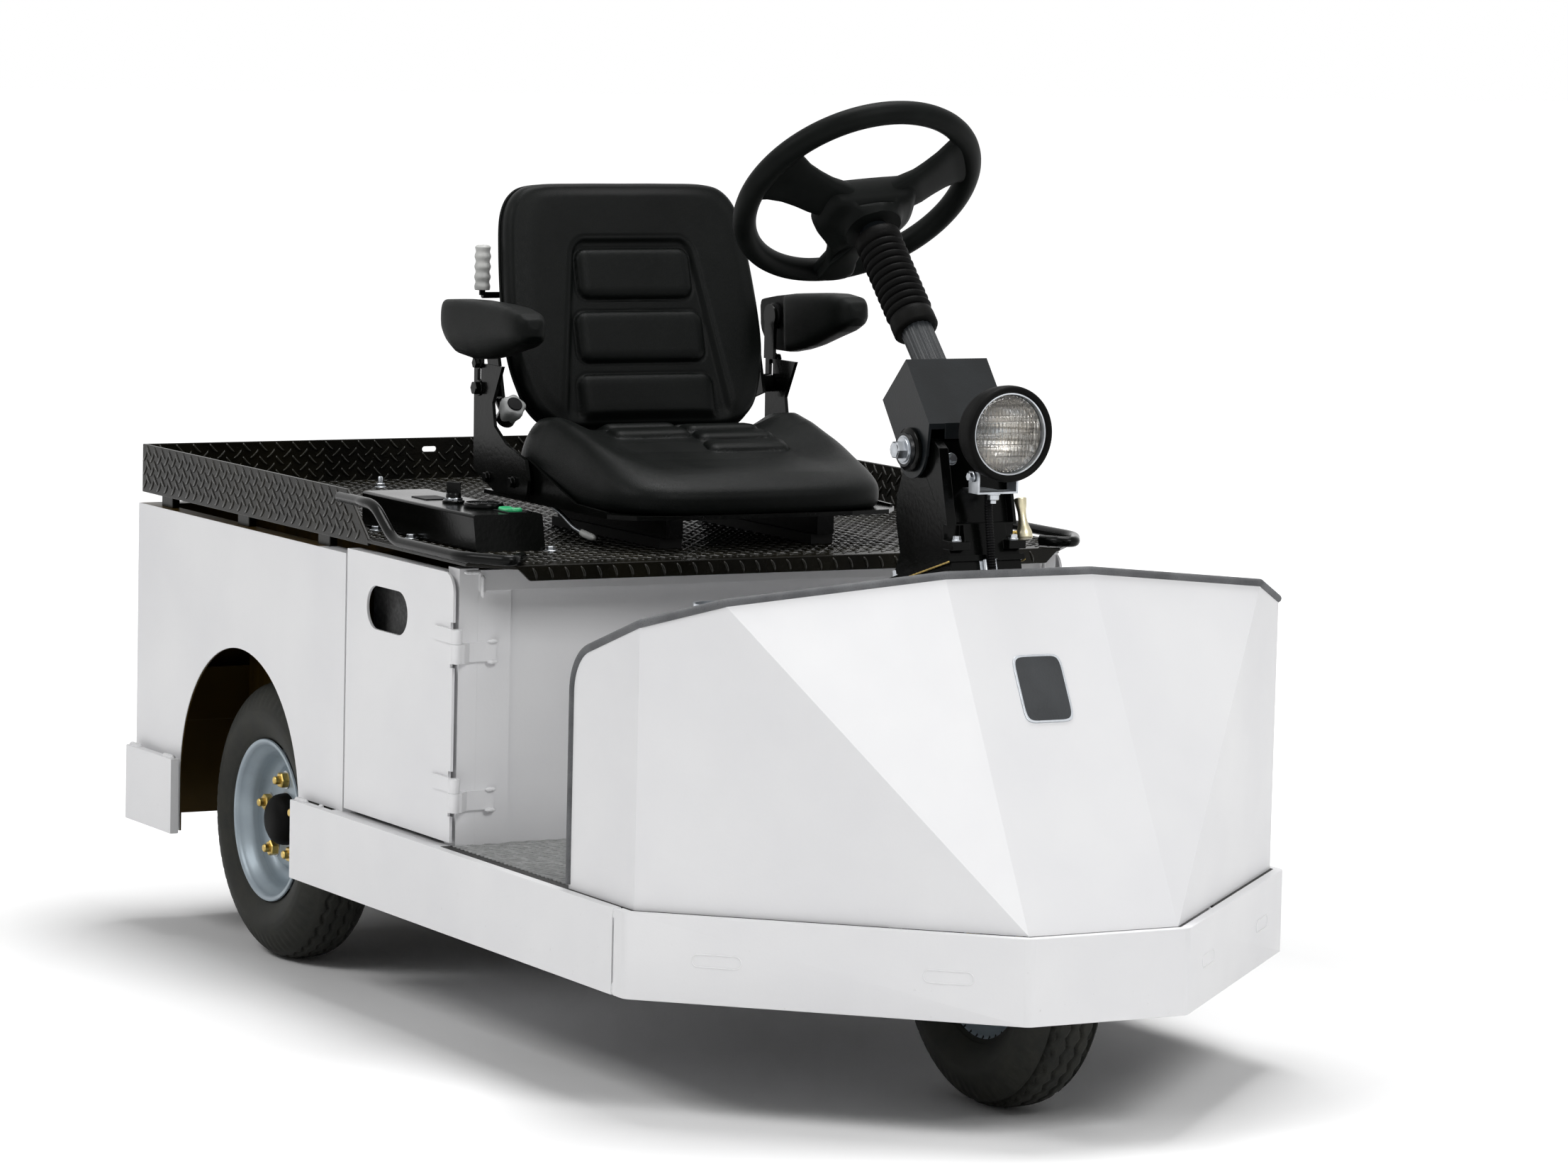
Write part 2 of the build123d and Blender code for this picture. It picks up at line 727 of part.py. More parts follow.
def cowl_corners():
    """The named outer corners of the cowl's right half."""
    (bend_x, side_y), (front_x, front_y) = nose_outline(COWL_INSET)
    slope = (side_y - front_y) / (front_x - bend_x)
    shoulder_y = side_y - (COWL_SHOULDER_X - bend_x) * slope
    rear_top = COWL_SIDE_TOP_Z - (bend_x - COWL_X0) * COWL_SIDE_SLOPE
    return {
        "rear_low": (COWL_X0, -side_y, FLOOR_Z),
        "rear_top": (COWL_X0, -side_y, rear_top),
        "side_low": (bend_x, -side_y, FLOOR_Z),
        "side_top": (bend_x, -side_y, COWL_SIDE_TOP_Z),
        "front_low": (front_x, -front_y, FLOOR_Z),
        "shoulder": (COWL_SHOULDER_X, -shoulder_y, COWL_SHOULDER_Z),
        "crest": (COWL_CREST_X, -COWL_CREST_Y, COWL_CREST_Z),
    }


def cowl():
    """The folded sheet nose: two side strips, two slanted sides, two hips and the front."""
    c = cowl_corners()
    strip = facet([c["rear_low"], c["side_low"], c["side_top"], c["rear_top"]], COWL_T)
    corner = strip.edges().filter_by(Axis.Y).sort_by(Axis.X)[:2].sort_by(Axis.Z)[-1]
    strip = fillet(corner, COWL_CORNER_R)
    slant = facet([c["side_low"], c["front_low"], c["shoulder"], c["side_top"]], COWL_T)
    hip = facet([c["shoulder"], c["crest"], c["front_low"]], COWL_T)
    half = strip + slant + hip
    left = {name: (x, -y, z) for name, (x, y, z) in c.items()}
    front = facet([c["crest"], left["crest"], left["front_low"], c["front_low"]], COWL_T)
    return both(half) + front


def trim_path():
    """Centre line of the edge trim: rear edge, rounded corner, then along the top."""
    c = cowl_corners()
    shift = COWL_T / 2
    x0, y0, _ = c["rear_low"]
    lift = TRIM_R + 0.4
    points = [(x0, y0 + shift, FLOOR_Z + lift), (x0, y0 + shift, c["rear_top"][2])]
    for name in ("side_top", "shoulder", "crest"):
        x, y, z = c[name]
        points.append((x - shift / 2, y + shift, z))
    return points


def cowl_trim():
    """Rubber edge trim pushed over the cowl's free edge."""
    bottom, corner, side_top, shoulder, crest = trim_path()
    run = FilletPolyline(bottom, corner, side_top, radius=COWL_CORNER_R)
    trim = sweep(Plane(origin=run @ 0, z_dir=run % 0) * Circle(TRIM_R), path=run)
    for start, end in ((side_top, shoulder), (shoulder, crest)):
        trim += rod(start, end, TRIM_R)
    for point in (side_top, shoulder, crest):
        trim += Pos(*point) * Sphere(TRIM_R)
    x, y, z = crest
    return both(trim) + rod((x, y, z), (x, -y, z), TRIM_R) - cowl()


# ---- front wheel well, fork and steering head --------------------------------------------
def on_steer(along, up):
    """A point in side view, at distances along and up the raked steering plane."""
    point = STEER.from_local_coords((along, 0, up))
    return point.X, point.Z


def well_back():
    """How far back along the raked plane the wheel well's top plate meets its kick plate."""
    return (WELL_X0 - WHEELBASE - WELL_TOP_D * RAKE_DIR[0]) / RAKE_DIR[2]


def wheel_well():
    """The housing round the front wheel: two cheeks, a kick plate and a raked top plate."""
    t = WELL_PLATE_T
    y0 = WELL_HALF_W
    y1 = y0 + t
    top_d = WELL_TOP_D
    rear_along = well_back()
    rear_top = on_steer(rear_along, top_d)
    front_top = on_steer(WELL_FRONT, top_d)
    low = FLOOR_Z - FLOOR_T - RAIL_H
    plate_x = slant_x(PLATE_T, y1)
    cowl_x = slant_x(COWL_INSET + COWL_T + 3, y1)
    cheek = [
        (WELL_X0, low), (plate_x, low), (plate_x, FLOOR_Z - FLOOR_T), (cowl_x, FLOOR_Z),
        (cowl_x, FLOOR_Z + WELL_NOSE_H), front_top, rear_top,
    ]
    well = both(side_slab(cheek, y0, y1))
    kick_x = WELL_X0 - t
    well += block(kick_x, WELL_X0, -y1, y1, low, rear_top[1])
    lid = [
        (kick_x, rear_top[1]), rear_top, front_top, on_steer(WELL_FRONT, top_d + t),
        on_steer(rear_along, top_d + t), (kick_x, rear_top[1] + t),
    ]
    well += side_slab(lid, -y1, y1)
    hole = STEER.location * Pos(0, 0, top_d) * Cylinder((HEAD_R + STEM_R) / 2, 4 * t)
    return well - hole


def steering_head():
    """The raked bearing tube on the well's top plate and the box that carries the tower."""
    low_d = WELL_TOP_D + WELL_PLATE_T
    box_d = BOX_TOP_D - BOX_PLATE_T - BOX_H
    tube = Pos(0, 0, (low_d + box_d) / 2) * Cylinder(HEAD_R, box_d - low_d)
    flange = Pos(0, 0, low_d + 5) * Cylinder(HEAD_R + HEAD_FLANGE, 10)
    box = Pos(0, 0, box_d + BOX_H / 2) * Box(BOX_L, 2 * BOX_HALF_W, BOX_H)
    edge = 2 * BOX_PLATE_EDGE
    plate = Box(BOX_L + edge, 2 * BOX_HALF_W + edge, BOX_PLATE_T)
    plate = Pos(0, 0, BOX_TOP_D - BOX_PLATE_T / 2) * plate
    bore_top = box_d + BOX_H / 2
    bore = Pos(0, 0, (low_d + bore_top) / 2) * Cylinder(STEM_R + HEAD_FIT, bore_top - low_d + 0.01)
    return STEER.location * (tube + flange + box + plate - bore)


def fork():
    """Crown, two legs down the raked line, axle bosses and the stem."""
    crown_d = TYRE_OD / 2 + FORK_CLEAR
    leg_y = TYRE_W / 2 + FORK_CLEAR
    width = 2 * (leg_y + FORK_LEG_T)
    crown = Pos(0, 0, crown_d + CROWN_T / 2) * Box(CROWN_L, width, CROWN_T)
    stem_top = BOX_TOP_D - BOX_PLATE_T - BOX_H * 2 / 3
    stem = Pos(0, 0, (crown_d + stem_top) / 2) * Cylinder(STEM_R, stem_top - crown_d)
    leg = Pos(0, leg_y + FORK_LEG_T / 2, crown_d / 2) * Box(FORK_LEG_W, FORK_LEG_T, crown_d)
    boss = Pos(0, leg_y + FORK_LEG_T / 2, 0) * Rot(90, 0, 0) * Cylinder(FORK_LEG_W / 2, FORK_LEG_T)
    axle = Rot(90, 0, 0) * Cylinder(AXLE_R, width + 24)
    nut = Pos(0, width / 2 + 6, 0) * Rot(90, 0, 0) * Cylinder(AXLE_NUT_R, 12)
    return STEER.location * (crown + stem + both(leg + boss) + axle + both(nut))


def front_wheel_parts():
    """Tyre and rim on the fork's axle."""
    place = Pos(WHEELBASE, 0, AXLE_Z) * Rot(0, 0, 180)
    y0 = -FRONT_RIM_W / 2 - 4
    y1 = FRONT_RIM_W / 2 - 2
    bearing = [(y0, AXLE_R + 0.2), (y1, AXLE_R + 0.2), (y1, AXLE_R + 9), (y0, AXLE_R + 9)]
    return place * tyre(FRONT_RIM_W), place * (rim(FRONT_RIM_W, y0) + spin(bearing))


# ---- rear axle ---------------------------------------------------------------------------
def rear_axle():
    """Transaxle housing, axle tubes and brake back plates."""
    drum_inner = REAR_STUD_Y - RIM_T - DRUM_W
    tube_end = drum_inner - RUN_GAP
    half = DIFF_W / 2
    case = [
        (-tube_end, 0), (-tube_end, DRUM_R), (-tube_end + 8, DRUM_R), (-tube_end + 8, AXLE_TUBE_R),
        (-half, AXLE_TUBE_R), (-half, DIFF_R - DIFF_EDGE), (-half + DIFF_EDGE, DIFF_R),
        (half - DIFF_EDGE, DIFF_R), (half, DIFF_R - DIFF_EDGE), (half, AXLE_TUBE_R),
        (tube_end - 8, AXLE_TUBE_R), (tube_end - 8, DRUM_R), (tube_end, DRUM_R), (tube_end, 0),
    ]
    shaft = rod((0, tube_end - 10, AXLE_Z), (0, drum_inner - SOFT_GAP, AXLE_Z), AXLE_R + 6)
    neck = rod((DIFF_R / 2, 0, AXLE_Z), (MOTOR_X0, 0, AXLE_Z), MOTOR_NECK_R)
    return Pos(0, 0, AXLE_Z) * spin(case) + both(shaft) + neck


def drive_motor():
    """The traction motor ahead of the transaxle."""
    x0 = MOTOR_X0
    x1 = MOTOR_X1
    r = MOTOR_R
    body = [(x0, 0), (x0, r - 8), (x0 + 8, r), (x1 - 8, r), (x1, r - 8), (x1, 0)]
    return Pos(0, 0, AXLE_Z) * spin_x(body)


def leaf_springs():
    """A leaf pack on each side with its hangers under the rails."""
    y0 = RAIL_Y + RAIL_W + SPRING_GAP
    y1 = y0 + SPRING_W
    seat_z = AXLE_Z + AXLE_TUBE_R
    low = seat_z + SPRING_SEAT
    pack = block(-48, 48, y0, y1, seat_z, low)
    for k, half in enumerate(reversed(LEAF_HALVES)):
        pack += block(-half, half, y0, y1, low + LEAF_T * k, low + LEAF_T * (k + 1))
    spring_top = low + LEAF_T * len(LEAF_HALVES)
    top = RAIL_REAR_TOP - 12
    for x in HANGER_XS:
        pack += block(x, x + HANGER_T, y0, y1, spring_top - 4, top)
        pack += block(x, x + HANGER_T, RAIL_Y + RAIL_W, y0, RAIL_REAR_TOP - RAIL_H + 8, top)
    return both(pack)


# ---- body --------------------------------------------------------------------------------
def side_panels():
    """Fixed side sheets with the wheel arches and a turned-in top flange."""
    y1 = BODY_HALF_W
    y0 = y1 - BODY_T
    x1 = DOOR_X0 - DOOR_GAP
    arch_x0 = ARCH_X - ARCH_R
    arch_x1 = ARCH_X + ARCH_R
    sheet = block(BODY_X0, x1, y0, y1, BODY_BOTTOM, BODY_TOP)
    sheet -= block(arch_x1 - 1, x1 + 1, y0 - 1, y1 + 1, 0, FLOOR_Z)
    sheet -= Pos(ARCH_X, (y0 + y1) / 2, ARCH_Z) * Rot(90, 0, 0) * Cylinder(ARCH_R, BODY_T + 2)
    sheet -= block(arch_x0, arch_x1, y0 - 1, y1 + 1, 0, ARCH_Z)
    sheet += block(BODY_X0 + BODY_T, x1, y1 - FLANGE_W, y1, BODY_TOP - BODY_T, BODY_TOP)
    sheet += block(x1 - BODY_T, x1, y1 - FLANGE_W, y1, FLOOR_Z, BODY_TOP)
    return both(sheet)


def rear_panel():
    """The rear sheet between the side panels, with its top flange."""
    y = BODY_HALF_W - BODY_T
    x0 = BODY_X0
    sheet = block(x0, x0 + BODY_T, -y, y, BODY_BOTTOM, BODY_TOP)
    inner = BODY_HALF_W - FLANGE_W
    return sheet + block(x0 + BODY_T, x0 + FLANGE_W, -inner, inner, BODY_TOP - BODY_T, BODY_TOP)


def wheel_wells():
    """Inner walls of the rear wheel compartments."""
    x0 = BODY_X0 + BODY_T + CROSS_W
    x1 = DOOR_X0 - DOOR_GAP - BODY_T
    wall = block(x0, x1, WELL_Y - WELL_T, WELL_Y, FLOOR_Z, BODY_TOP)
    wall -= block(RAIL_STEP_X - 40, x1 + 1, WELL_Y - WELL_T - 1, WELL_Y + 1, 0, FLOOR_Z - FLOOR_T)
    face = block(x1 - BODY_T, x1, WELL_Y, BODY_HALF_W - FLANGE_W, FLOOR_Z, BODY_TOP)
    return both(wall + face)


def bulkhead():
    """The footwell's rear wall: recessed panel, stiles and header."""
    x1 = BULKHEAD_X
    x0 = x1 - BULKHEAD_RECESS
    outer = POST_HALF_W - POST_W
    panel = block(x0, x0 + BODY_T, -outer, outer, FLOOR_Z, HEADER_Z1)
    stile = block(x0 + BODY_T, x1, outer - STILE_W, outer, FLOOR_Z, HEADER_Z1)
    header = block(x1, x1 + HEADER_T, -outer, outer, HEADER_Z0, HEADER_Z1)
    return panel + both(stile) + header


def door_posts():
    """Door posts with the lower halves of the lift-off hinges and their pins."""
    x1 = BULKHEAD_X
    x0 = x1 - POST_L
    y1 = POST_HALF_W
    y0 = y1 - POST_W
    t = BODY_T
    post = block(x1 - t, x1, y0, y1, FLOOR_Z, POST_TOP)
    post += block(x0, x1, y1 - t, y1, FLOOR_Z, POST_TOP)
    post += block(x0, x1, y0, y1, POST_TOP - t, POST_TOP)
    for z in HINGE_ZS:
        post += hook(z)
    return both(post)


def hook(z):
    """The fixed half of one left hinge: a curled bar, an eye and an upright pin."""
    x = HINGE_X
    y = HINGE_Y
    t = HINGE_BAR_T
    wall = BULKHEAD_X
    root = POST_HALF_W - POST_W / 2
    curl = HINGE_R
    bar = plan_slab([
        (wall, root - 40), (wall + t, root - 40), (wall + t + 1, root), (x + curl - 3, y - curl - 2),
        (x + curl - 1, y - 2), (x - 2, y + curl - 1), (wall, POST_HALF_W - 7),
    ], z, z + HINGE_H)
    eye = Pos(x, y, z + HINGE_H / 2) * Cylinder(HINGE_R, HINGE_H)
    pin_top = z + HINGE_H + STRAP_H - 3
    pin = Pos(x, y, (z + pin_top) / 2) * Cylinder(HINGE_PIN_R, pin_top - z)
    return bar + eye + pin


def door():
    """The left battery door: notched sheet, hand hole and two straps with eyes."""
    y1 = BODY_HALF_W
    y0 = y1 - BODY_T
    x0 = DOOR_X0
    x1 = DOOR_X1
    fold_y = y0 - DOOR_FOLD
    sheet = block(x0, x1, y0, y1, DOOR_Z0, DOOR_Z1)
    edge = sheet.edges().filter_by(Axis.Y).sort_by(Axis.X)[-2:].sort_by(Axis.Z)[-1]
    sheet = fillet(edge, DOOR_CORNER_R)
    slot = extrude(SlotOverall(HAND_SLOT_L, HAND_SLOT_H), amount=20, both=True)
    sheet -= Pos(HAND_SLOT_X, y1, HAND_SLOT_Z) * Rot(90, 0, 0) * slot
    sheet += block(x0, x1 - DOOR_CORNER_R - 14, fold_y, y0, DOOR_Z1 - BODY_T, DOOR_Z1)
    sheet += block(x0, x0 + BODY_T, fold_y, y0, DOOR_Z0, DOOR_Z1)
    for z in HINGE_ZS:
        z0 = z + HINGE_H + HINGE_FIT
        z1 = z0 + STRAP_H
        sheet -= block(x1 - 7, x1 + 1, y0 - 1, y1 + 1, z - HINGE_NOTCH, z1 + HINGE_NOTCH)
        strap = block(x1 - STRAP_L, HINGE_X, y1, y1 + HINGE_BAR_T, z0, z1)
        strap += Pos(HINGE_X, HINGE_Y, (z0 + z1) / 2) * Cylinder(HINGE_R, STRAP_H)
        bore = Pos(HINGE_X, HINGE_Y, (z0 + z1) / 2) * Cylinder(HINGE_PIN_R + HINGE_FIT, STRAP_H + 1)
        sheet = sheet + strap - bore
    return sheet


# ---- deck --------------------------------------------------------------------------------
def deck():
    """The tread plate tray: floor, three upturned walls and a turned-down front lip."""
    y = DECK_HALF_W
    t = DECK_T
    x0 = BODY_X0
    lip_y = DECK_LIP_HALF
    corner_x = DECK_LIP_X - DECK_CORNER_RUN
    plan = [
        (x0, -y), (corner_x, -y), (DECK_LIP_X, -lip_y), (DECK_LIP_X, lip_y), (corner_x, y), (x0, y),
    ]
    tray = plan_slab(plan, DECK_TOP - t, DECK_TOP)
    wall = side_slab([
        (x0, WALL_BOTTOM), (WALL_END_LOW_X, WALL_BOTTOM), (WALL_END_LOW_X, DECK_TOP),
        (WALL_END_TOP_X, WALL_TOP), (x0, WALL_TOP),
    ], y - t, y)
    tray += both(wall)
    rear = block(x0, x0 + t, -y, y, WALL_BOTTOM, WALL_TOP)
    slot = extrude(Rot(0, 0, 90) * SlotOverall(REAR_SLOT_L, REAR_SLOT_H), 20, both=True)
    tray += rear - Pos(x0, 0, REAR_SLOT_Z) * Rot(0, 90, 0) * slot
    lip_x = DECK_LIP_X - t
    low = DECK_TOP - DECK_LIP_H
    low_y = lip_y - DECK_LIP_SLANT
    lip = make_face(Polyline(
        (lip_x, -lip_y, DECK_TOP), (lip_x, lip_y, DECK_TOP), (lip_x, low_y, low),
        (lip_x, -low_y, low), close=True))
    return tray + extrude(lip, amount=t, dir=(1, 0, 0)) + deck_spacers()


def deck_spacers():
    """Pads that hold the deck above the body's flanges and the header."""
    high = DECK_TOP - DECK_T
    y1 = BODY_HALF_W - FLANGE_W / 2
    stile_y = POST_HALF_W - POST_W - STILE_W
    pads = block(BULKHEAD_X - BULKHEAD_RECESS, BULKHEAD_X, stile_y - 40, stile_y, HEADER_Z1, high)
    for x in SPACER_XS:
        pads += block(x, x + 40, y1 - 12, y1, BODY_TOP, high)
    return both(pads)


def guard_tubes():
    """Bent bars from the side walls' ends down and round to the front lip."""
    y = DECK_HALF_W + TUBE_R
    tip_x = DECK_LIP_X + TUBE_TIP_AHEAD
    corner_x = DECK_LIP_X - DECK_CORNER_RUN
    points = [
        (WALL_END_TOP_X - 6, y, TUBE_TOP_Z), (TUBE_DROP_X, y, TUBE_TOP_Z), (TUBE_LOW_X, y, TUBE_Z),
        (corner_x, y, TUBE_Z), (tip_x, DECK_LIP_HALF + TUBE_TIP_OUT, TUBE_Z),
        (DECK_LIP_X - 22, DECK_LIP_HALF - DECK_LIP_SLANT, TUBE_Z),
    ]
    return both(pipe(points, TUBE_BEND_R, TUBE_R))


def console():
    """The control box on the right of the deck."""
    top = DECK_TOP + CONSOLE_H
    x0 = CONSOLE_X0
    x1 = x0 + CONSOLE_L
    y0 = -DECK_HALF_W + CONSOLE_FROM_WALL
    profile = [(x0, DECK_TOP), (x1, DECK_TOP), (x1 - CONSOLE_SLANT, top), (x0, top)]
    body = side_slab(profile, y0, y0 + CONSOLE_W)
    return fillet(body.edges().filter_by(Axis.X), 4)


def console_controls():
    """Key switch, gauge and rocker on the console's top."""
    top = DECK_TOP + CONSOLE_H
    x1 = CONSOLE_X0 + CONSOLE_L
    y = -DECK_HALF_W + CONSOLE_FROM_WALL + CONSOLE_W / 2
    gauge = Pos(x1 - GAUGE_BACK, y + 8, top + 4) * Cylinder(GAUGE_R, 8)
    switch = Pos(x1 - KEY_BACK, y - 4, top + 5) * Cylinder(KEY_R, 10)
    key = Pos(x1 - KEY_BACK, y - 4, top + 18) * Box(KEY_L, 4, 18)
    rocker = Pos(x1 - ROCKER_BACK, y + 18, top + 4) * Box(ROCKER_L, ROCKER_W, 8)
    return gauge + switch + key + rocker


# ---- tower, column, lamp -----------------------------------------------------------------
def tower_front(z):
    """The x of the tower's front edge at a height: a straight line down to the box's edge."""
    foot_x, foot_z = on_steer(BOX_L / 2, BOX_TOP_D)
    top_x = PIVOT_X + TOWER_TOP_AHEAD
    top_z = PIVOT_Z + TOWER_SHOULDER
    return foot_x + (z - foot_z) * (top_x - foot_x) / (top_z - foot_z)


def tower():
    """Bent-plate tower: a hollow stem with a set-back front panel, pockets and bolted feet."""
    rear_foot = on_steer(-BOX_L / 2, BOX_TOP_D)
    front_foot = on_steer(BOX_L / 2, BOX_TOP_D)
    foot_z = front_foot[1]
    shoulder_z = PIVOT_Z + TOWER_SHOULDER
    y = TOWER_HALF_W
    t = TOWER_T
    cheek = [rear_foot, front_foot, (tower_front(shoulder_z), shoulder_z)]
    cheek += shifted(TOWER_CHEEK, PIVOT_X, PIVOT_Z)
    back_x = min(dx for dx, _ in TOWER_CHEEK) + PIVOT_X + t
    body = side_slab(cheek, -y, y)
    deep = TOWER_RECESS
    open_z = PIVOT_Z + 40
    inner = [
        on_steer(-BOX_L / 2 + 3 * t, BOX_TOP_D + t), on_steer(BOX_L / 2 - deep - t, BOX_TOP_D + t),
        (tower_front(open_z) - deep - t, open_z), (PIVOT_X - 26 + t, open_z),
        (back_x, PIVOT_Z - 67),
    ]
    body -= side_slab(inner, -y + t, y - t)
    panel_z = foot_z + TOWER_PANEL_RISE
    recess = [
        (tower_front(panel_z) - deep, panel_z), (tower_front(panel_z) + 20, panel_z),
        (tower_front(open_z) + 20, open_z), (tower_front(open_z) - deep, open_z),
    ]
    body -= side_slab(recess, -y + TOWER_STRIP, y - t)
    pocket_z = foot_z + TOWER_FOOT_H + 8
    for y0, y1 in ((-y - 1, -y + POCKET_W), (y - POCKET_W + 7, y + 1)):
        x = tower_front(pocket_z)
        body -= block(x - deep, x + 40, y0, y1, pocket_z, pocket_z + POCKET_H)
    for y0 in (-y - 2, y - TOWER_FOOT_W + 2):
        x = tower_front(foot_z + TOWER_FOOT_H)
        z1 = foot_z + TOWER_FOOT_H + 8
        body += block(x - deep, x + TOWER_FOOT_OUT, y0, y0 + TOWER_FOOT_W, z1 - TOWER_FOOT_H, z1)
    bore = rod((PIVOT_X, -y - 5, PIVOT_Z), (PIVOT_X, y + 5, PIVOT_Z), PIVOT_R + HINGE_FIT)
    return body - bore


def column_head():
    """The folded head box that straddles the tower, with its ears and pivot bolt."""
    y = HEAD_HALF_W
    t = TOWER_T - 1
    corners = shifted(HEAD_CORNERS, PIVOT_X, PIVOT_Z)
    top_rear, rear, _, _, _, front = corners
    ear = rod((PIVOT_X, -y, PIVOT_Z), (PIVOT_X, y, PIVOT_Z), EAR_R)
    outer = side_slab(corners, -y, y) + ear
    low = PIVOT_Z - EAR_R - 15
    pocket = side_slab([
        (top_rear[0] + 1, top_rear[1] - 8), (rear[0] + 7, rear[1] - 1), (PIVOT_X - EAR_R - 12, low),
        (PIVOT_X + 2 * EAR_R + 40, low), (front[0] + 40, front[1] - 22), (front[0] - 5, front[1] - 6),
    ], -y + t, y - t)
    head = outer - pocket
    bolt = rod((PIVOT_X, -y - 16, PIVOT_Z), (PIVOT_X, y + 16, PIVOT_Z), PIVOT_R)
    washer = both(rod((PIVOT_X, y, PIVOT_Z), (PIVOT_X, y + 12, PIVOT_Z), 22))
    bolt_head = both(rod((PIVOT_X, y + 12, PIVOT_Z), (PIVOT_X, y + 26, PIVOT_Z), 10))
    return head + bolt + washer + bolt_head + column_tube()


def column_tube():
    """The round column between the head box and the steering wheel."""
    top = -HUB_DEPTH - SOFT_GAP
    return COLUMN.location * Pos(0, 0, (top - COLUMN_LEN) / 2) * Cylinder(COLUMN_R, top + COLUMN_LEN)


def column_boot():
    """The ribbed bellows and its two collars."""
    low = -BOOT_TOP - BOOT_PITCH * BOOT_RIBS
    neck = BOOT_R - 5
    profile = [(COLUMN_R, low - 26), (BOOT_R - 3, low - 26), (BOOT_R - 3, low)]
    for k in range(BOOT_RIBS):
        z = low + BOOT_PITCH * k
        profile += [(neck, z + 0.5), (BOOT_R, z + BOOT_PITCH / 2)]
    top = -BOOT_TOP
    profile += [(neck, top), (BOOT_R - 2, top), (BOOT_R - 2, top + 16), (COLUMN_R, top + 16)]
    return COLUMN.location * spin_z(profile)


def steering_wheel():
    """Grip ring, three moulded spokes and the deep hub that narrows to the lower spoke."""
    grip_section = Plane.XZ * Pos(WHEEL_R, 0) * RegularPolygon(WHEEL_GRIP_R, WHEEL_GRIP_SIDES)
    wheel = revolve(grip_section, axis=Axis.Z)
    hub = plan_slab(mirrored(HUB_OUTLINE), -HUB_SKIRT, -HUB_TOP)
    hub = chamfer(hub.faces().sort_by(Axis.Z)[0].edges(), 7)
    wheel += hub
    low = -HUB_TOP - 18
    wheel += Pos(-WHEEL_R + 12, 0, low / 2 - 4) * Box(40, 42, -low - 6)
    for angle in (-SPOKE_ANGLE, SPOKE_ANGLE):
        spoke = Pos(WHEEL_R / 2 + 10, 0, low / 2 - 4) * Box(WHEEL_R - 16, SPOKE_W, -low - 10)
        wheel += Rot(0, 0, angle) * spoke
    wheel += Pos(0, 0, -(HUB_TOP + HUB_DEPTH) / 2) * Cylinder(HUB_COLLAR_R, HUB_DEPTH - HUB_TOP)
    return COLUMN.location * Rot(0, 0, WHEEL_TURN) * wheel


def lamp_housing():
    """The rubber lamp body, open at the front."""
    x0 = LAMP_X - LAMP_DEPTH / 2
    x1 = x0 + LAMP_DEPTH
    profile = [
        (x0, 0), (x0, LAMP_R * 0.55), (x0 + 14, LAMP_R - 10), (x0 + 34, LAMP_R - 2),
        (x0 + 46, LAMP_R), (x1, LAMP_R - 2), (x1, LENS_R + 1), (x1 - 12, LENS_R), (x0 + 20, 34),
        (x0 + 6, 20), (x0 + 6, 0),
    ]
    return Pos(0, 0, LAMP_Z) * spin_x(profile)


def lamp_reflector():
    """The bowl of the sealed beam."""
    x0 = LAMP_X - LAMP_DEPTH / 2
    front = x0 + LAMP_DEPTH - 13
    profile = [
        (x0 + 6, 0), (x0 + 6, 18), (x0 + 21, 32), (front, LENS_R - 2), (front, LENS_R - 5),
        (x0 + 24, 30), (x0 + 12, 16), (x0 + 12, 0),
    ]
    return Pos(0, 0, LAMP_Z) * spin_x(profile)


def lamp_lens():
    """The glass of the sealed beam."""
    x1 = LAMP_X + LAMP_DEPTH / 2
    edge = LENS_R - 1
    profile = [(x1 - 2, 0), (x1 - 5, 26), (x1 - 9, edge), (x1 - 12, edge), (x1 - 9, 26), (x1 - 6, 0)]
    return Pos(0, 0, LAMP_Z) * spin_x(profile)


def lamp_bracket():
    """The U yoke under the lamp and its arm back to the tower's panel."""
    z1 = LAMP_Z - LAMP_R
    z0 = z1 - YOKE_DROP
    low = z0 - YOKE_T
    x0 = LAMP_X - YOKE_L
    x1 = LAMP_X
    arm = side_slab([
        (tower_front(low) - TOWER_RECESS, low), (x1, low), (x1, z0),
        (tower_front(z0) - TOWER_RECESS, z0),
    ], -YOKE_HALF_W / 2, YOKE_HALF_W / 2)
    base = block(x0, x1, -YOKE_HALF_W, YOKE_HALF_W, low, z0)
    ears = both(block(x0, x1, YOKE_HALF_W - YOKE_T, YOKE_HALF_W, z0, LAMP_Z - LAMP_R * 0.82))
    return arm + base + ears


def lamp_conduit():
    """The corrugated sleeve of the lamp's cable, down to the clip on the head box."""
    top = LAMP_Z - LAMP_R - YOKE_DROP - YOKE_T
    face = tower_front(top)
    points = [(face + ahead, 0, top - below) for ahead, below in CONDUIT_ROUTE]
    return pipe(points, CONDUIT_BEND_R, CONDUIT_R)


def tilt_handle():
    """The waisted hand grip of the tilt lock beside the tower's left cheek."""
    y = TOWER_HALF_W
    foot_z = PIVOT_Z - GRIP_BELOW_PIVOT
    x = tower_front(foot_z) - 8
    rod_x = tower_front(foot_z) - GRIP_ROD_BACK
    shaft = rod((rod_x, y, foot_z - 4), (rod_x, y + GRIP_OUT, foot_z - 4), 5)
    waist = [(0, -8), (GRIP_R, -8), (GRIP_R - 1, 2), (5, 16), (5, 28), (GRIP_R - 3, 44), (0, 44)]
    lean = math.degrees(math.atan2(tower_front(0) - tower_front(100), 100))
    return shaft + Pos(x, y + GRIP_OUT, foot_z) * Rot(0, -lean, 0) * spin_z(waist)


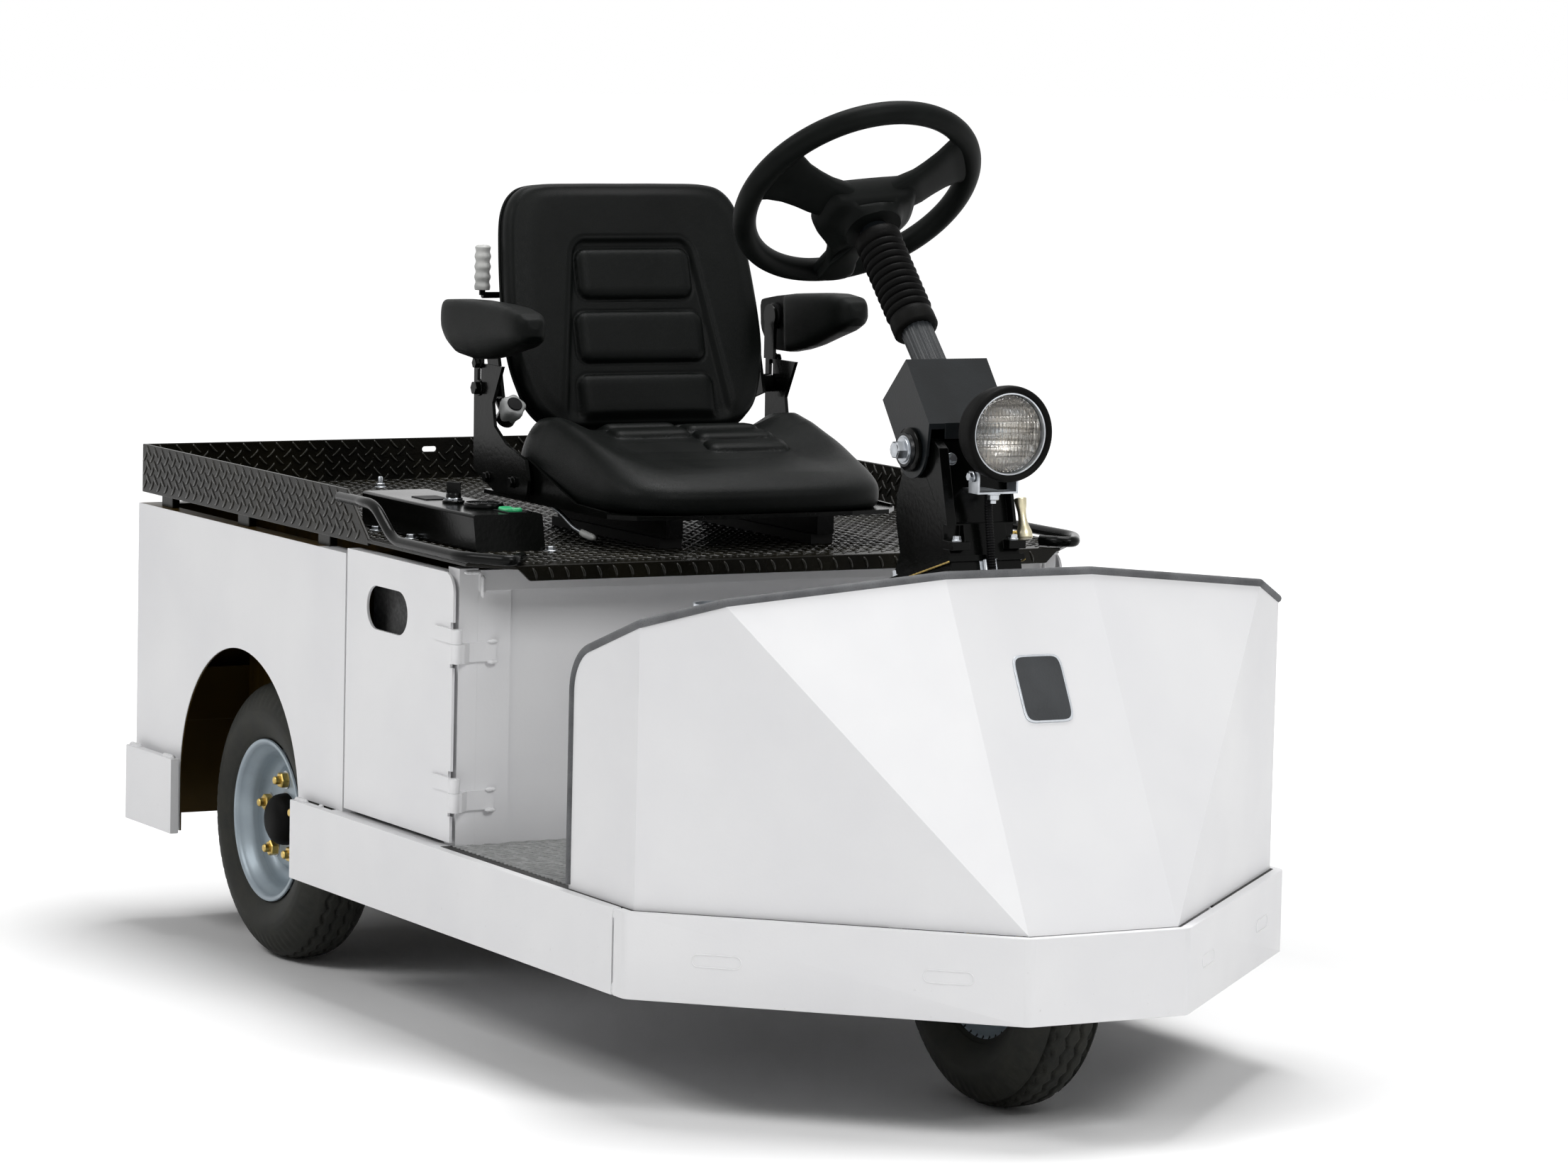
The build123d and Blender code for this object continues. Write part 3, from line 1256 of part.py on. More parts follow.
def pedals():
    """Accelerator and brake pedals on the kick plate."""
    kick = WELL_X0 - WELL_PLATE_T
    x0 = kick - PEDAL_REACH
    well_z = on_steer(well_back(), WELL_TOP_D)[1]
    parts = None
    for y, width, drop in PEDALS:
        low = well_z - drop
        x1 = x0 + PEDAL_LEAN
        z1 = low + PEDAL_H
        pad = side_slab([
            (x0, low), (x0 + PEDAL_T, low - 4), (x1 + PEDAL_T, z1 - 4), (x1, z1),
        ], y - width / 2, y + width / 2)
        mid_x = (x0 + x1) / 2
        mid_z = (low + z1) / 2
        arm = side_slab([
            (mid_x + 2, mid_z), (mid_x + 8, mid_z - 8), (kick, mid_z + 16), (kick, mid_z + 30),
        ], y - 6, y + 6)
        parts = pad + arm if parts is None else parts + pad + arm
    return parts


def cup_ring():
    """A small ring on a strap inside the cowl's right shoulder."""
    face_y = HALF_W - CUP_FROM_SIDE
    face_x = slant_x(COWL_INSET + COWL_T, face_y)
    turn = math.degrees(math.atan2(HALF_W - NOSE_HALF_FRONT, NOSE_X - NOSE_BEND_X))
    inward = Pos(face_x, -face_y, 0) * Rot(0, 0, turn)
    w = CUP_BAR_HALF
    stand = CUP_STAND
    strap = block(-w, w, stand, stand + 3, CUP_Z - 46, CUP_Z + 4)
    foot = block(-w, w, 0, stand, CUP_Z - 46, CUP_Z - 26)
    ring = Pos(0, stand + 2.5 + CUP_R, CUP_Z) * (Cylinder(CUP_R, 8) - Cylinder(CUP_R - 2.5, 9))
    return inward * (strap + foot + ring)


def battery_pack():
    """The battery's mass as one block between the doors."""
    y = POST_HALF_W - BATTERY_GAP
    x1 = BULKHEAD_X - BULKHEAD_RECESS - 8
    return block(DOOR_X0 + 12, x1, -y, y, FLOOR_Z, BATTERY_TOP)


def hitch():
    """The rear coupling: a back plate and two jaw plates bored for the pin."""
    x1 = BODY_X0
    x0 = x1 - HITCH_PLATE_T
    y = HITCH_HALF_W
    z = HITCH_Z
    plate = block(x0, x1, -y, y, z - HITCH_HALF_H, z + HITCH_HALF_H)
    tip = 2 * HITCH_PIN_R
    jaw = plan_slab([(x0, -60), (x0, 60), (REAR_X, tip), (REAR_X, -tip)], 0, HITCH_JAW_T)
    half_gap = HITCH_JAW_GAP / 2
    jaws = Pos(0, 0, z + half_gap) * jaw + Pos(0, 0, z - half_gap - HITCH_JAW_T) * jaw
    bore = Pos(HITCH_PIN_X, 0, z) * Cylinder(HITCH_PIN_R, 2 * HITCH_HALF_H)
    return plate + jaws - bore


def tail_lamps():
    """Round tail lamps on the rear panel."""
    x1 = BODY_X0
    x0 = x1 - TAIL_LAMP_OUT
    r = TAIL_LAMP_R
    lamp = spin_x([(x1, 0), (x1, r), (x0 + 5, r), (x0, r - 5), (x0, 0)])
    return both(Pos(0, BODY_HALF_W - TAIL_LAMP_IN, TAIL_LAMP_Z) * lamp)


# ---- seat --------------------------------------------------------------------------------
def seat_rails():
    """Slide rails bolted to the deck."""
    y0 = SEAT_RAIL_Y - SEAT_RAIL_HALF
    y1 = SEAT_RAIL_Y + SEAT_RAIL_HALF
    x0 = SEAT_RAIL_X0
    return both(block(x0, x0 + SEAT_RAIL_L, y0, y1, DECK_TOP, DECK_TOP + SEAT_RAIL_H))


def seat_slides():
    """The upper slides under the pan."""
    x0 = SEAT_RAIL_X0 + SLIDE_SHIFT
    low = DECK_TOP + SEAT_RAIL_H + SOFT_GAP
    y = SEAT_RAIL_Y
    return both(block(x0, x0 + SEAT_RAIL_L, y - SLIDE_HALF, y + SLIDE_HALF, low, PAN_Z - PAN_T))


def seat_pan():
    """The pressed pan under the cushion, its lips, and the side brackets up to the armrests."""
    y = PAN_HALF_W
    low = PAN_Z - PAN_T
    x0 = PAN_X0
    x1 = PAN_X1
    c = PAN_CORNER
    pan = plan_slab([
        (x0, -y), (x1 - c, -y), (x1 - c / 4, -y + c * 0.6), (x1, -y + 2 * c), (x1, y - 2 * c),
        (x1 - c / 4, y - c * 0.6), (x1 - c, y), (x0, y),
    ], low, PAN_Z)
    lip = side_slab(shifted(PAN_LIP, x0, PAN_Z), y - PAN_LIP_T, y)
    y0 = BRACKET_Y
    y1 = y0 + BRACKET_T
    x = RECLINE_X
    z = RECLINE_Z
    bracket = side_slab(shifted(BRACKET_OUTLINE, x, z), y0, y1)
    slot = extrude(Rot(0, 0, 90) * SlotOverall(28, 11), 20, both=True)
    bracket -= Pos(x - 1, y0, z + 22) * Rot(90, 0, 0) * slot
    bracket += side_slab([
        (ARM_PIVOT_X - 14, z + 34), (ARM_PIVOT_X + 14, z + 34), (ARM_PIVOT_X + 14, ARM_PIVOT_Z),
        (ARM_PIVOT_X - 14, ARM_PIVOT_Z),
    ], y0, y1)
    bracket += rod((ARM_PIVOT_X, y0, ARM_PIVOT_Z), (ARM_PIVOT_X, y1, ARM_PIVOT_Z), LUG_R)
    bracket += rod((ARM_PIVOT_X, y1, ARM_PIVOT_Z), (ARM_PIVOT_X, ARM_Y + 10, ARM_PIVOT_Z), ARM_PIN_R)
    bracket -= rod((x, y0 - 1, z), (x, y1 + 1, z), ARM_PIN_R + HINGE_FIT)
    link = block(PAN_X0 + 60, PAN_X0 + 140, y, y0, PAN_Z + 6, PAN_Z + 46)
    return pan + both(lip + bracket + link) + seat_slides()


def seat_cushion():
    """The cushion's plain body: a wedge-fronted slab with raised bolsters at its rear sides."""
    y = PAN_HALF_W - PAN_LIP_T - SOFT_GAP
    low = PAN_Z + SOFT_GAP
    x0 = CUSHION_REAR_X
    x1 = PAN_X1 + CUSHION_LIP
    top = CUSHION_TOP
    rise = CUSHION_BOLSTER
    slab = side_slab([
        (PAN_X0 + 40, low), (x1, low), (x1, low + 30), (x1 - 30, top - 8), (x1 - 80, top),
        (x0 + 60, top - 14), (x0, top - 18), (PAN_X0 + 40, top - 30),
    ], -y, y)
    bolster = side_slab([
        (x0, low), (x1 - 50, low), (x1 - 50, top - 24), (x0 + 150, top + rise / 3),
        (x0 + 66, top + rise), (x0 + 26, top + rise), (x0, top + rise / 2),
    ], y - CUSHION_BOLSTER_W, y)
    return slab + both(bolster)


def back_outline(scale):
    """The backrest's outline as (up, side) points, shrunk about its middle by a scale."""
    middle = BACK_LEN / 2
    half = []
    for side, height in BACK_OUTLINE:
        up = middle + (height * BACK_LEN - middle) * scale
        half.append((up, side * BACK_HALF * scale))
    return mirrored(half)


def back_slab(scale, front, thickness):
    """The backrest's outline, extruded rearward from a depth behind its front plane."""
    face = make_face(Polyline(*[(-front, y, up) for up, y in back_outline(scale)], close=True))
    return extrude(face, amount=thickness, dir=(-1, 0, 0))


def back_cushion():
    """The backrest: a padded front slab and the narrower shell behind it."""
    return BACK.location * (back_slab(1, 0, BACK_T) + back_slab(SHELL_SCALE, BACK_T, SHELL_T))


def back_frame():
    """The backrest's side arms from the recline bolts, its cross bar, knob and lumbar lever."""
    pivot = BACK.to_local_coords(Vector(RECLINE_X, 0, RECLINE_Z))
    y0 = BACK_HALF + FRAME_OUT
    y1 = y0 + FRAME_T
    rear = -BACK_T - SHELL_T - SOFT_GAP
    up0 = pivot.Z - FRAME_W / 2
    up1 = pivot.Z + FRAME_BAR_UP
    arm = block(rear - FRAME_T, pivot.X + FRAME_W / 2, y0, y1, up0, up1)
    boss_end = BRACKET_Y + BRACKET_T
    turn = Rot(90, 0, 0)
    reach = BRACKET_Y - 2
    arm += Pos(pivot.X, (y1 + reach) / 2, pivot.Z) * turn * Cylinder(RECLINE_BOSS_R, reach - y1)
    arm += Pos(pivot.X, (y1 + boss_end) / 2, pivot.Z) * turn * Cylinder(ARM_PIN_R, boss_end - y1)
    bar = block(rear - FRAME_T, rear, -y1, y1, up1 - FRAME_W, up1)
    frame = BACK.location * (both(arm) + bar)
    tip = Vector(KNOB_X, -KNOB_Y, KNOB_Z)
    along = Vector(0.78, 0, 0.62).normalized()
    foot = tip - along * KNOB_L
    root = Vector(RECLINE_X + 6, -y0 - FRAME_T / 2, RECLINE_Z - FRAME_W / 2)
    frame += rod(root, foot + along * 4, GRIP_ROD_R + 1) + rod(foot, tip, KNOB_R)
    return frame + lumbar_lever(rear, up1)


def lumbar_lever(rear, low):
    """An upright hand lever on a cranked rod behind the right side of the backrest.

    Its strap stands on the frame's bar: rear is the shell's back, low the bar's upper edge."""
    side = -BACK_HALF - FRAME_OUT
    inner = side + LEVER_REACH
    strap = block(rear - FRAME_T, rear, inner - 10, inner + 10, low - 6, low + LEVER_UP + 6)
    corner = BACK.from_local_coords(Vector(rear - FRAME_T - GRIP_ROD_R + 1, side, low + LEVER_UP))
    inward = corner + Vector(0, LEVER_REACH, 0)
    up = Vector(0, 0, 1)
    rods = rod(corner, inward, GRIP_ROD_R) + rod(corner, corner + up * 14, GRIP_ROD_R)
    grip = rod(corner + up * 10, corner + up * (10 + LEVER_H), LEVER_R)
    return BACK.location * strap + rods + grip


def armrest(side):
    """One flip-up armrest; side is -1 on the right, 1 on the left, which sits tilted up."""
    px = ARM_PIVOT_X
    pz = ARM_PIVOT_Z
    y0 = ARM_Y - ARM_W / 2
    y1 = ARM_Y + ARM_W / 2
    arm = side_slab(shifted(ARM_OUTLINE, px, pz), y0, y1)
    arm = chamfer(arm.faces().sort_by(Axis.Y)[-1].edges(), 7)
    cut_y = BRACKET_Y + BRACKET_T + ARM_GAP
    arm -= block(px - 70, px + ARM_CUT_L, y0 - 1, cut_y, pz - 70, pz + 60)
    arm -= rod((px, y0 - 1, pz), (px, ARM_Y + 10 + SOFT_GAP, pz), ARM_PIN_R + HINGE_FIT)
    if side > 0:
        return Pos(px, 0, pz) * Rot(0, -ARM_LEFT_TILT, 0) * Pos(-px, 0, -pz) * arm
    return mirror(arm, about=Plane.XZ)


# ---- write the pieces --------------------------------------------------------------------
def nodes():
    """Every node's name and solid."""
    left_door = door()
    table = {
        "frame_rails": frame_rails(), "floor_plate": floor_plate(), "side_plates": side_plates(),
        "nose_plate": nose_plate(), "cowl": cowl(), "cowl_trim": cowl_trim(),
        "wheel_well": wheel_well(), "steering_head": steering_head(), "fork": fork(),
        "rear_axle": rear_axle(), "drive_motor": drive_motor(), "leaf_springs": leaf_springs(),
        "side_panels": side_panels(), "rear_panel": rear_panel(), "wheel_wells": wheel_wells(),
        "bulkhead": bulkhead(), "door_posts": door_posts(), "deck": deck(),
        "guard_tubes": guard_tubes(), "console": console(), "console_controls": console_controls(),
        "tower": tower(), "column_head": column_head(), "column_boot": column_boot(),
        "steering_wheel": steering_wheel(), "lamp_housing": lamp_housing(),
        "lamp_reflector": lamp_reflector(), "lamp_lens": lamp_lens(), "lamp_bracket": lamp_bracket(),
        "lamp_conduit": lamp_conduit(), "tilt_handle": tilt_handle(), "pedals": pedals(),
        "cup_ring": cup_ring(), "battery_pack": battery_pack(), "hitch": hitch(),
        "tail_lamps": tail_lamps(), "seat_rails": seat_rails(), "seat_pan": seat_pan(),
        "seat_cushion": seat_cushion(), "back_cushion": back_cushion(), "back_frame": back_frame(),
        "door_left": left_door, "door_right": mirror(left_door, about=Plane.XZ),
    }
    table["front_tyre"], table["front_rim"] = front_wheel_parts()
    for name, side in SIDES:
        table[f"rear_tyre_{name}"], table[f"rear_rim_{name}"] = rear_wheel_parts(side)
        table[f"armrest_{name}"] = armrest(side)
    return table


os.makedirs("parts", exist_ok=True)
for node, solid in nodes().items():
    export_step(Pos(-MID_X, 0, 0) * solid, f"parts/{node}.step")
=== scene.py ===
import math

import bmesh
import bpy
import numpy as np
from mathutils import Matrix, Vector


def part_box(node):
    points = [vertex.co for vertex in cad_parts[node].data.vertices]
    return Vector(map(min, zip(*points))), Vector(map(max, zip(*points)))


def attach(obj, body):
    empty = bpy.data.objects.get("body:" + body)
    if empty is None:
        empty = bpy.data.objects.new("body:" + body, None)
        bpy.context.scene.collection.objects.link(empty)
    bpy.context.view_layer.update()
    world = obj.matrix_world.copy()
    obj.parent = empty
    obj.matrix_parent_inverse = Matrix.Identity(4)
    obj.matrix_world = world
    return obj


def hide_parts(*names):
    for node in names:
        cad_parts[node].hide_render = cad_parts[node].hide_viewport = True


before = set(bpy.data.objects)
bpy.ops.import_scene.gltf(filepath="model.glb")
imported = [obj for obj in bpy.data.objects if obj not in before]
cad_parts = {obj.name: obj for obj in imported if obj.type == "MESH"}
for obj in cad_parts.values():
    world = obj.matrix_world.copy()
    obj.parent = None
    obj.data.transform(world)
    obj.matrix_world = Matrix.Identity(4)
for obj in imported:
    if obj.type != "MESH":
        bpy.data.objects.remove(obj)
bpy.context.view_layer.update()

# A three-wheel electric tow tractor.  The frame is in metres, +X forward, +Y to the
# driver's left, +Z up.  Shapes are worked out in millimetres from the rear axle line.
AXLE_X = (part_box("rear_rim_right")[0][0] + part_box("rear_rim_right")[1][0]) / 2
TAU = 2 * math.pi
SIDES = ((-1, "right"), (1, "left"))


# ---- surfaces worked out as arrays ---------------------------------------------------------
def quads(rows, cols, wrap_rows=False, wrap_cols=False):
    """Faces of a grid of points: each joins (i, j), (i+1, j), (i+1, j+1), (i, j+1)."""
    i, j = np.meshgrid(
        np.arange(rows if wrap_rows else rows - 1),
        np.arange(cols if wrap_cols else cols - 1), indexing="ij")
    i2 = (i + 1) % rows
    j2 = (j + 1) % cols
    corners = (i * cols + j, i2 * cols + j, i2 * cols + j2, i * cols + j2)
    return np.stack(corners, -1).reshape(-1, 4)


def carried(points, matrix):
    """Points turned and moved by a matrix."""
    m = np.array(matrix)
    return points @ m[:3, :3].T + m[:3, 3]


class Shape:
    """Surfaces gathered into one mesh."""

    def __init__(self):
        self.points = []
        self.faces = []
        self.count = 0

    def add(self, points, faces):
        """Adds points (n, 3) with faces that count from the first of them."""
        points = np.asarray(points, float).reshape(-1, 3)
        self.points.append(points)
        self.faces += [[self.count + k for k in face] for face in faces]
        self.count += len(points)
        return self

    def grid(self, points, wrap_rows=False, wrap_cols=True, caps=False):
        """Adds a grid of points (rows, cols, 3); caps close its first and last row."""
        rows, cols = points.shape[:2]
        faces = quads(rows, cols, wrap_rows, wrap_cols).tolist()
        if caps:
            faces.append(list(range(cols))[::-1])
            faces.append([(rows - 1) * cols + k for k in range(cols)])
        return self.add(points, faces)

    def copies(self, points, faces):
        """Adds many copies at once: points (copies, n, 3) that all share one face list."""
        steps = np.arange(len(points))[:, None, None] * points.shape[1]
        return self.add(points, (faces + steps).reshape(-1, faces.shape[1]).tolist())

    def moved(self, matrix):
        """Turns and moves everything gathered so far."""
        self.points = [carried(p, matrix) for p in self.points]
        return self

    def join(self, other, matrix=Matrix()):
        """Adds another shape, placed by a matrix."""
        return self.add(carried(np.concatenate(other.points), matrix), other.faces)

    def mirrored(self):
        """Adds the mirror image across the machine's middle plane."""
        points = np.concatenate(self.points) * (1, -1, 1)
        return self.add(points, [face[::-1] for face in self.faces])

    def piece(self, name, finish, body="chassis", soft=True, instead=(), sharp=None, edge=0):
        """Makes the mesh object, its faces turned outward, riding on a body.

        instead names the CAD nodes that it stands for; sharp is the angle past which an
        edge stays crisp under smooth shading; edge is the width in millimetres of a bevel."""
        mesh = bpy.data.meshes.new(name)
        points = np.concatenate(self.points) / 1000 + (AXLE_X, 0, 0)
        mesh.from_pydata(points.tolist(), [], self.faces)
        item = bpy.data.objects.new(name, mesh)
        bpy.context.scene.collection.objects.link(item)
        turn_outward(mesh, sharp)
        mesh.polygons.foreach_set("use_smooth", np.full(len(mesh.polygons), soft))
        mesh.materials.append(FINISHES[finish])
        if edge:
            bevel(item, edge, 30, True)
        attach(item, body)
        if instead:
            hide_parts(*instead)
        return item


def turn_outward(mesh, sharp):
    """Merges doubles, makes every closed shell's faces point out and marks crisp edges."""
    work = bmesh.new()
    work.from_mesh(mesh)
    bmesh.ops.remove_doubles(work, verts=work.verts, dist=1e-6)
    bmesh.ops.dissolve_degenerate(work, edges=work.edges, dist=1e-7)
    bmesh.ops.recalc_face_normals(work, faces=work.faces)
    if sharp is not None:
        for edge in work.edges:
            if len(edge.link_faces) == 2 and edge.calc_face_angle() > math.radians(sharp):
                edge.smooth = False
    work.to_mesh(mesh)
    work.free()


def bevel(item, width, angle, harden):
    """A live bevel, its width in millimetres, on the edges sharper than the angle."""
    edges = item.modifiers.new("edges", "BEVEL")
    edges.width = width / 1000
    edges.segments = 2
    edges.limit_method = "ANGLE"
    edges.angle_limit = math.radians(angle)
    edges.harden_normals = harden


def shift(x, y, z):
    """A place with no turn."""
    return Matrix.Translation((x, y, z))


def spin(degrees, axis):
    """A turn about an axis through the origin."""
    return Matrix.Rotation(math.radians(degrees), 4, axis)


def leaned(x, z, degrees):
    """The place of a plane at (x, 0, z) that is turned back about the Y axis."""
    c, s = math.cos(math.radians(degrees)), math.sin(math.radians(degrees))
    return Matrix(((c, 0, -s, x), (0, 1, 0, 0), (s, 0, c, z), (0, 0, 0, 1)))


def facing(place, direction):
    """A place whose Z axis points along a direction."""
    return shift(*place) @ Vector(direction).to_track_quat("Z", "Y").to_matrix().to_4x4()


def smooth_line(points, steps, closed=False):
    """A Catmull-Rom curve through the points, with so many steps from each to the next."""
    p = np.asarray(points, float)
    if closed:
        a, b, c, d = np.roll(p, 1, 0), p, np.roll(p, -1, 0), np.roll(p, -2, 0)
    else:
        e = np.concatenate([[2 * p[0] - p[1]], p, [2 * p[-1] - p[-2]]])
        a, b, c, d = e[:-3], e[1:-2], e[2:-1], e[3:]
    t = (np.arange(steps) / steps)[None, :, None]
    a, b, c, d = (q[:, None, :] for q in (a, b, c, d))
    line = b + 0.5 * t * (c - a + t * (2 * a - 5 * b + 4 * c - d + t * (3 * b - a - 3 * c + d)))
    line = line.reshape(-1, p.shape[1])
    return line if closed else np.concatenate([line, p[-1:]])


def lathe(profile, sides=64, wrap=False):
    """A profile of (radius, height) points turned about Z; wrap joins its last to its first."""
    r, h = np.array(profile, float).T
    a = np.arange(sides) * TAU / sides
    points = np.stack([r[:, None] * np.cos(a), r[:, None] * np.sin(a), h[:, None] + 0 * a], -1)
    return Shape().grid(points, wrap_rows=wrap)


def tube(path, radius, sides=14, across=(0, 0, 1), closed=False):
    """A circle carried along a path; across is a direction that the path never points in."""
    path = np.asarray(path, float)
    along = np.roll(path, -1, 0) - np.roll(path, 1, 0) if closed else np.gradient(path, axis=0)
    along /= np.linalg.norm(along, axis=1)[:, None]
    side = np.cross(along, np.asarray(across, float))
    side /= np.linalg.norm(side, axis=1)[:, None]
    up = np.cross(side, along)
    a = np.arange(sides)[None, :, None] * TAU / sides
    r = np.broadcast_to(radius, len(path))[:, None, None]
    points = path[:, None] + r * (np.cos(a) * side[:, None] + np.sin(a) * up[:, None])
    return Shape().grid(points, wrap_rows=closed, caps=not closed)


def slab(x0, x1, y0, y1, z0, z1):
    """A block between two corners."""
    corners = np.array([(x, y, z) for x in (x0, x1) for y in (y0, y1) for z in (z0, z1)])
    return Shape().add(corners, [
        (0, 1, 3, 2), (4, 6, 7, 5), (0, 4, 5, 1), (2, 3, 7, 6), (0, 2, 6, 4), (1, 5, 7, 3)])


def at_height(flat, z):
    """Plan points (x, y) given one height, or a height each."""
    return np.column_stack([flat, np.zeros(len(flat)) + z])


def hexagon(across, height, washer=0.0, dome=0.0):
    """A hexagon head standing on z = 0, on its washer, with a chamfered crown."""
    r = across / 2 / math.cos(math.pi / 6)
    head = lathe([
        (0, 0), (r, 0), (r, height * 0.85), (r * 0.87, height), (r * 0.5, height + dome),
        (0, height + dome)], 6)
    if washer:
        head.moved(shift(0, 0, 2))
        head.join(lathe([(0, 0), (washer, 0), (washer, 1.6), (washer - 0.6, 2.1), (0, 2.1)], 28))
    return head


def smooth_step(value, low, high):
    """0 under low, 1 over high, with a smooth S between."""
    t = np.clip((value - low) / (high - low), 0, 1)
    return t * t * (3 - 2 * t)


def squared(wave, power):
    """A sine or cosine raised to a power with its sign kept: it squares off an ellipse."""
    return np.sign(wave) * np.abs(wave) ** power


def circle(steps):
    """Cosines and sines of so many even steps round a circle, as one row each."""
    a = np.arange(steps)[None] * TAU / steps
    return np.cos(a), np.sin(a)


def rounded_box(u, v, half_u, half_v, corner):
    """How far a point lies outside a rounded rectangle; negative inside."""
    du = np.abs(u) - half_u + corner
    dv = np.abs(v) - half_v + corner
    outside = np.hypot(np.maximum(du, 0), np.maximum(dv, 0))
    return outside + np.minimum(np.maximum(du, dv), 0) - corner


def pillow(distance, reach):
    """A quarter-round rise from 0 at an outline to 1 at a reach inside it."""
    t = np.clip(-distance / reach, 0, 1)
    return np.sqrt(1 - (1 - t) ** 2)


# ---- finishes ------------------------------------------------------------------------------
class Value:
    """A number socket that can stand in sums; each operator adds its Math node."""

    def __init__(self, finish, socket):
        self.finish = finish
        self.socket = socket

    def also(self, name):
        """Another output of the same node."""
        return Value(self.finish, self.socket.node.outputs[name])

    def __add__(self, other):
        return self.finish.math("ADD", self, other)

    def __rsub__(self, other):
        return self.finish.math("SUBTRACT", other, self)

    def __mul__(self, other):
        return self.finish.math("MULTIPLY", self, other)

    def above(self, edge):
        """1 over the edge and 0 under it."""
        return self.finish.math("GREATER_THAN", self, edge)

    def ramp(self, low, high):
        """0 at low and under, 1 at high and over, straight between."""
        return self.finish.node("MapRange", {"clamp": True}, {0: self, 1: low, 2: high})


class Finish:
    """A material, or the world, and the nodes that feed its one shader."""

    def __init__(self, holder, shader="Principled BSDF"):
        holder.use_nodes = True
        self.holder = holder
        self.tree = holder.node_tree
        self.shader = self.tree.nodes[shader]

    def node(self, kind, settings=None, inputs=None, out=0):
        """Adds one node: its settings first, then values or links for its sockets."""
        made = self.tree.nodes.new("ShaderNode" + kind)
        for key, value in (settings or {}).items():
            setattr(made, key, value)
        for key, value in (inputs or {}).items():
            self.feed(made.inputs[key], value)
        return Value(self, made.outputs[out])

    def feed(self, socket, value):
        """Links a Value to the socket, or sets a constant on it."""
        if isinstance(value, Value):
            self.tree.links.new(value.socket, socket)
        else:
            socket.default_value = value

    def math(self, operation, *terms):
        """A Math node with its terms in order."""
        return self.node("Math", {"operation": operation}, dict(enumerate(terms)))

    def set(self, **values):
        """Sets the shader's sockets; an underscore stands for a space."""
        for key, value in values.items():
            self.feed(self.shader.inputs[key.replace("_", " ")], value)

    def place(self, scale=(1, 1, 1)):
        """Object coordinates, scaled."""
        where = self.node("TexCoord", out="Object")
        return self.node("Mapping", None, {"Vector": where, "Scale": scale})

    def noise(self, size, detail=3.0, rough=0.5, scale=(1, 1, 1)):
        """Noise whose blotches are about size metres across."""
        return self.node("TexNoise", None, {
            "Vector": self.place(scale), "Scale": 1 / size, "Detail": detail,
            "Roughness": rough}, out="Fac")

    def bands(self, direction, scale, **more):
        """Even stripes across a direction."""
        return self.node("TexWave", {"wave_type": "BANDS", "bands_direction": direction},
                         {"Vector": self.place(), "Scale": scale, **more}, out="Fac")

    def blend(self, factor, a, b):
        """One colour turning into another by a factor."""
        return self.node("Mix", {"data_type": "RGBA"}, {"Factor": factor, 6: a, 7: b}, out=2)

    def bump(self, height, depth, strength):
        """A bump whose full height is depth metres."""
        inputs = {"Strength": strength, "Distance": depth, "Height": height}
        return self.node("Bump", None, inputs, out="Normal")


def rgb(r, g, b):
    """A colour given in screen values 0 to 255, as linear light."""
    c = np.array([r, g, b]) / 255
    linear = np.where(c <= 0.04045, c / 12.92, ((c + 0.055) / 1.055) ** 2.4)
    return (*linear.tolist(), 1.0)


def material(name):
    """A new material to dress."""
    return Finish(bpy.data.materials.new(name))


def two_tone(name, dark, light, rough, gloss, cloud, span, haze, grain, bump, grit=0.0, worn=None,
             **shader):
    """A cloud between two colours that also hazes the gloss, over a fine grain.

    cloud and grain are noises: size, detail, roughness, scale.  span is where the cloud
    turns, bump the grain's depth and strength, grit its share in the roughness.  worn is a
    noise, where it starts and is full, its share, its colour and how much it dulls."""
    f = material(name)
    clouds = f.noise(*cloud)
    grains = f.noise(*grain)
    tint = f.blend(clouds.ramp(*span), rgb(*dark), rgb(*light))
    roughness = clouds * haze + rough
    if grit:
        roughness = roughness + grains * grit
    if worn:
        noise, low, high, share, colour, dull = worn
        patch = f.noise(*noise).ramp(low, high)
        tint = f.blend(patch * share, tint, rgb(*colour))
        roughness = roughness + patch * dull
    f.set(Base_Color=tint, Roughness=roughness, Normal=f.bump(grains, *bump))
    f.set(Specular_IOR_Level=gloss, **shader)
    return f.holder


def coat(name, dark, light, rough, gloss, peel=0.006, specks=None):
    """Black paint on plate and tube: light orange peel, cloudy gloss and worn specks; on the tread bars the
    lighter paint and pale specks are partly painted glints.
    """
    worn = specks and ((0.007, 4.0, 0.65), 0.70, 0.78, 0.6, specks, 0.0)
    return two_tone(name, dark, light, rough, gloss, (0.07, 4.0), (0.4, 0.75), 0.12,
                    (peel, 2.0), (0.0004, 0.3), worn=worn)


def satin(name, dark, light, rough, gloss, grain, depth, cloud=0.06):
    """Moulded plastic or rubber: a two-tone cloud over a fine grain."""
    return two_tone(name, dark, light, rough, gloss, (cloud, 3.0), (0.35, 0.7), 0.12,
                    (grain, 3.0, 0.6), (depth, 0.55), 0.06)


def metal(name, colour, rough, streak=0.02):
    """Plated or cast metal with soft blotches in its gloss."""
    dull = [int(c * 0.8) for c in colour]
    return two_tone(name, colour, dull, rough, 0.5, (streak, 4.0, 0.6), (0.3, 0.75), 0.18,
                    (streak / 12, 2.0), (0.00012, 0.5), Metallic=1.0)


# Bounds of the rear body's inside, which gets painted shade: dark amber for the shadow within the arches.
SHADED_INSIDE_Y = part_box("side_panels")[1][1] - 0.0012
SHADED_INSIDE_FRONT = -0.312
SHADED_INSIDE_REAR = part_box("rear_panel")[0][0] + 0.0012


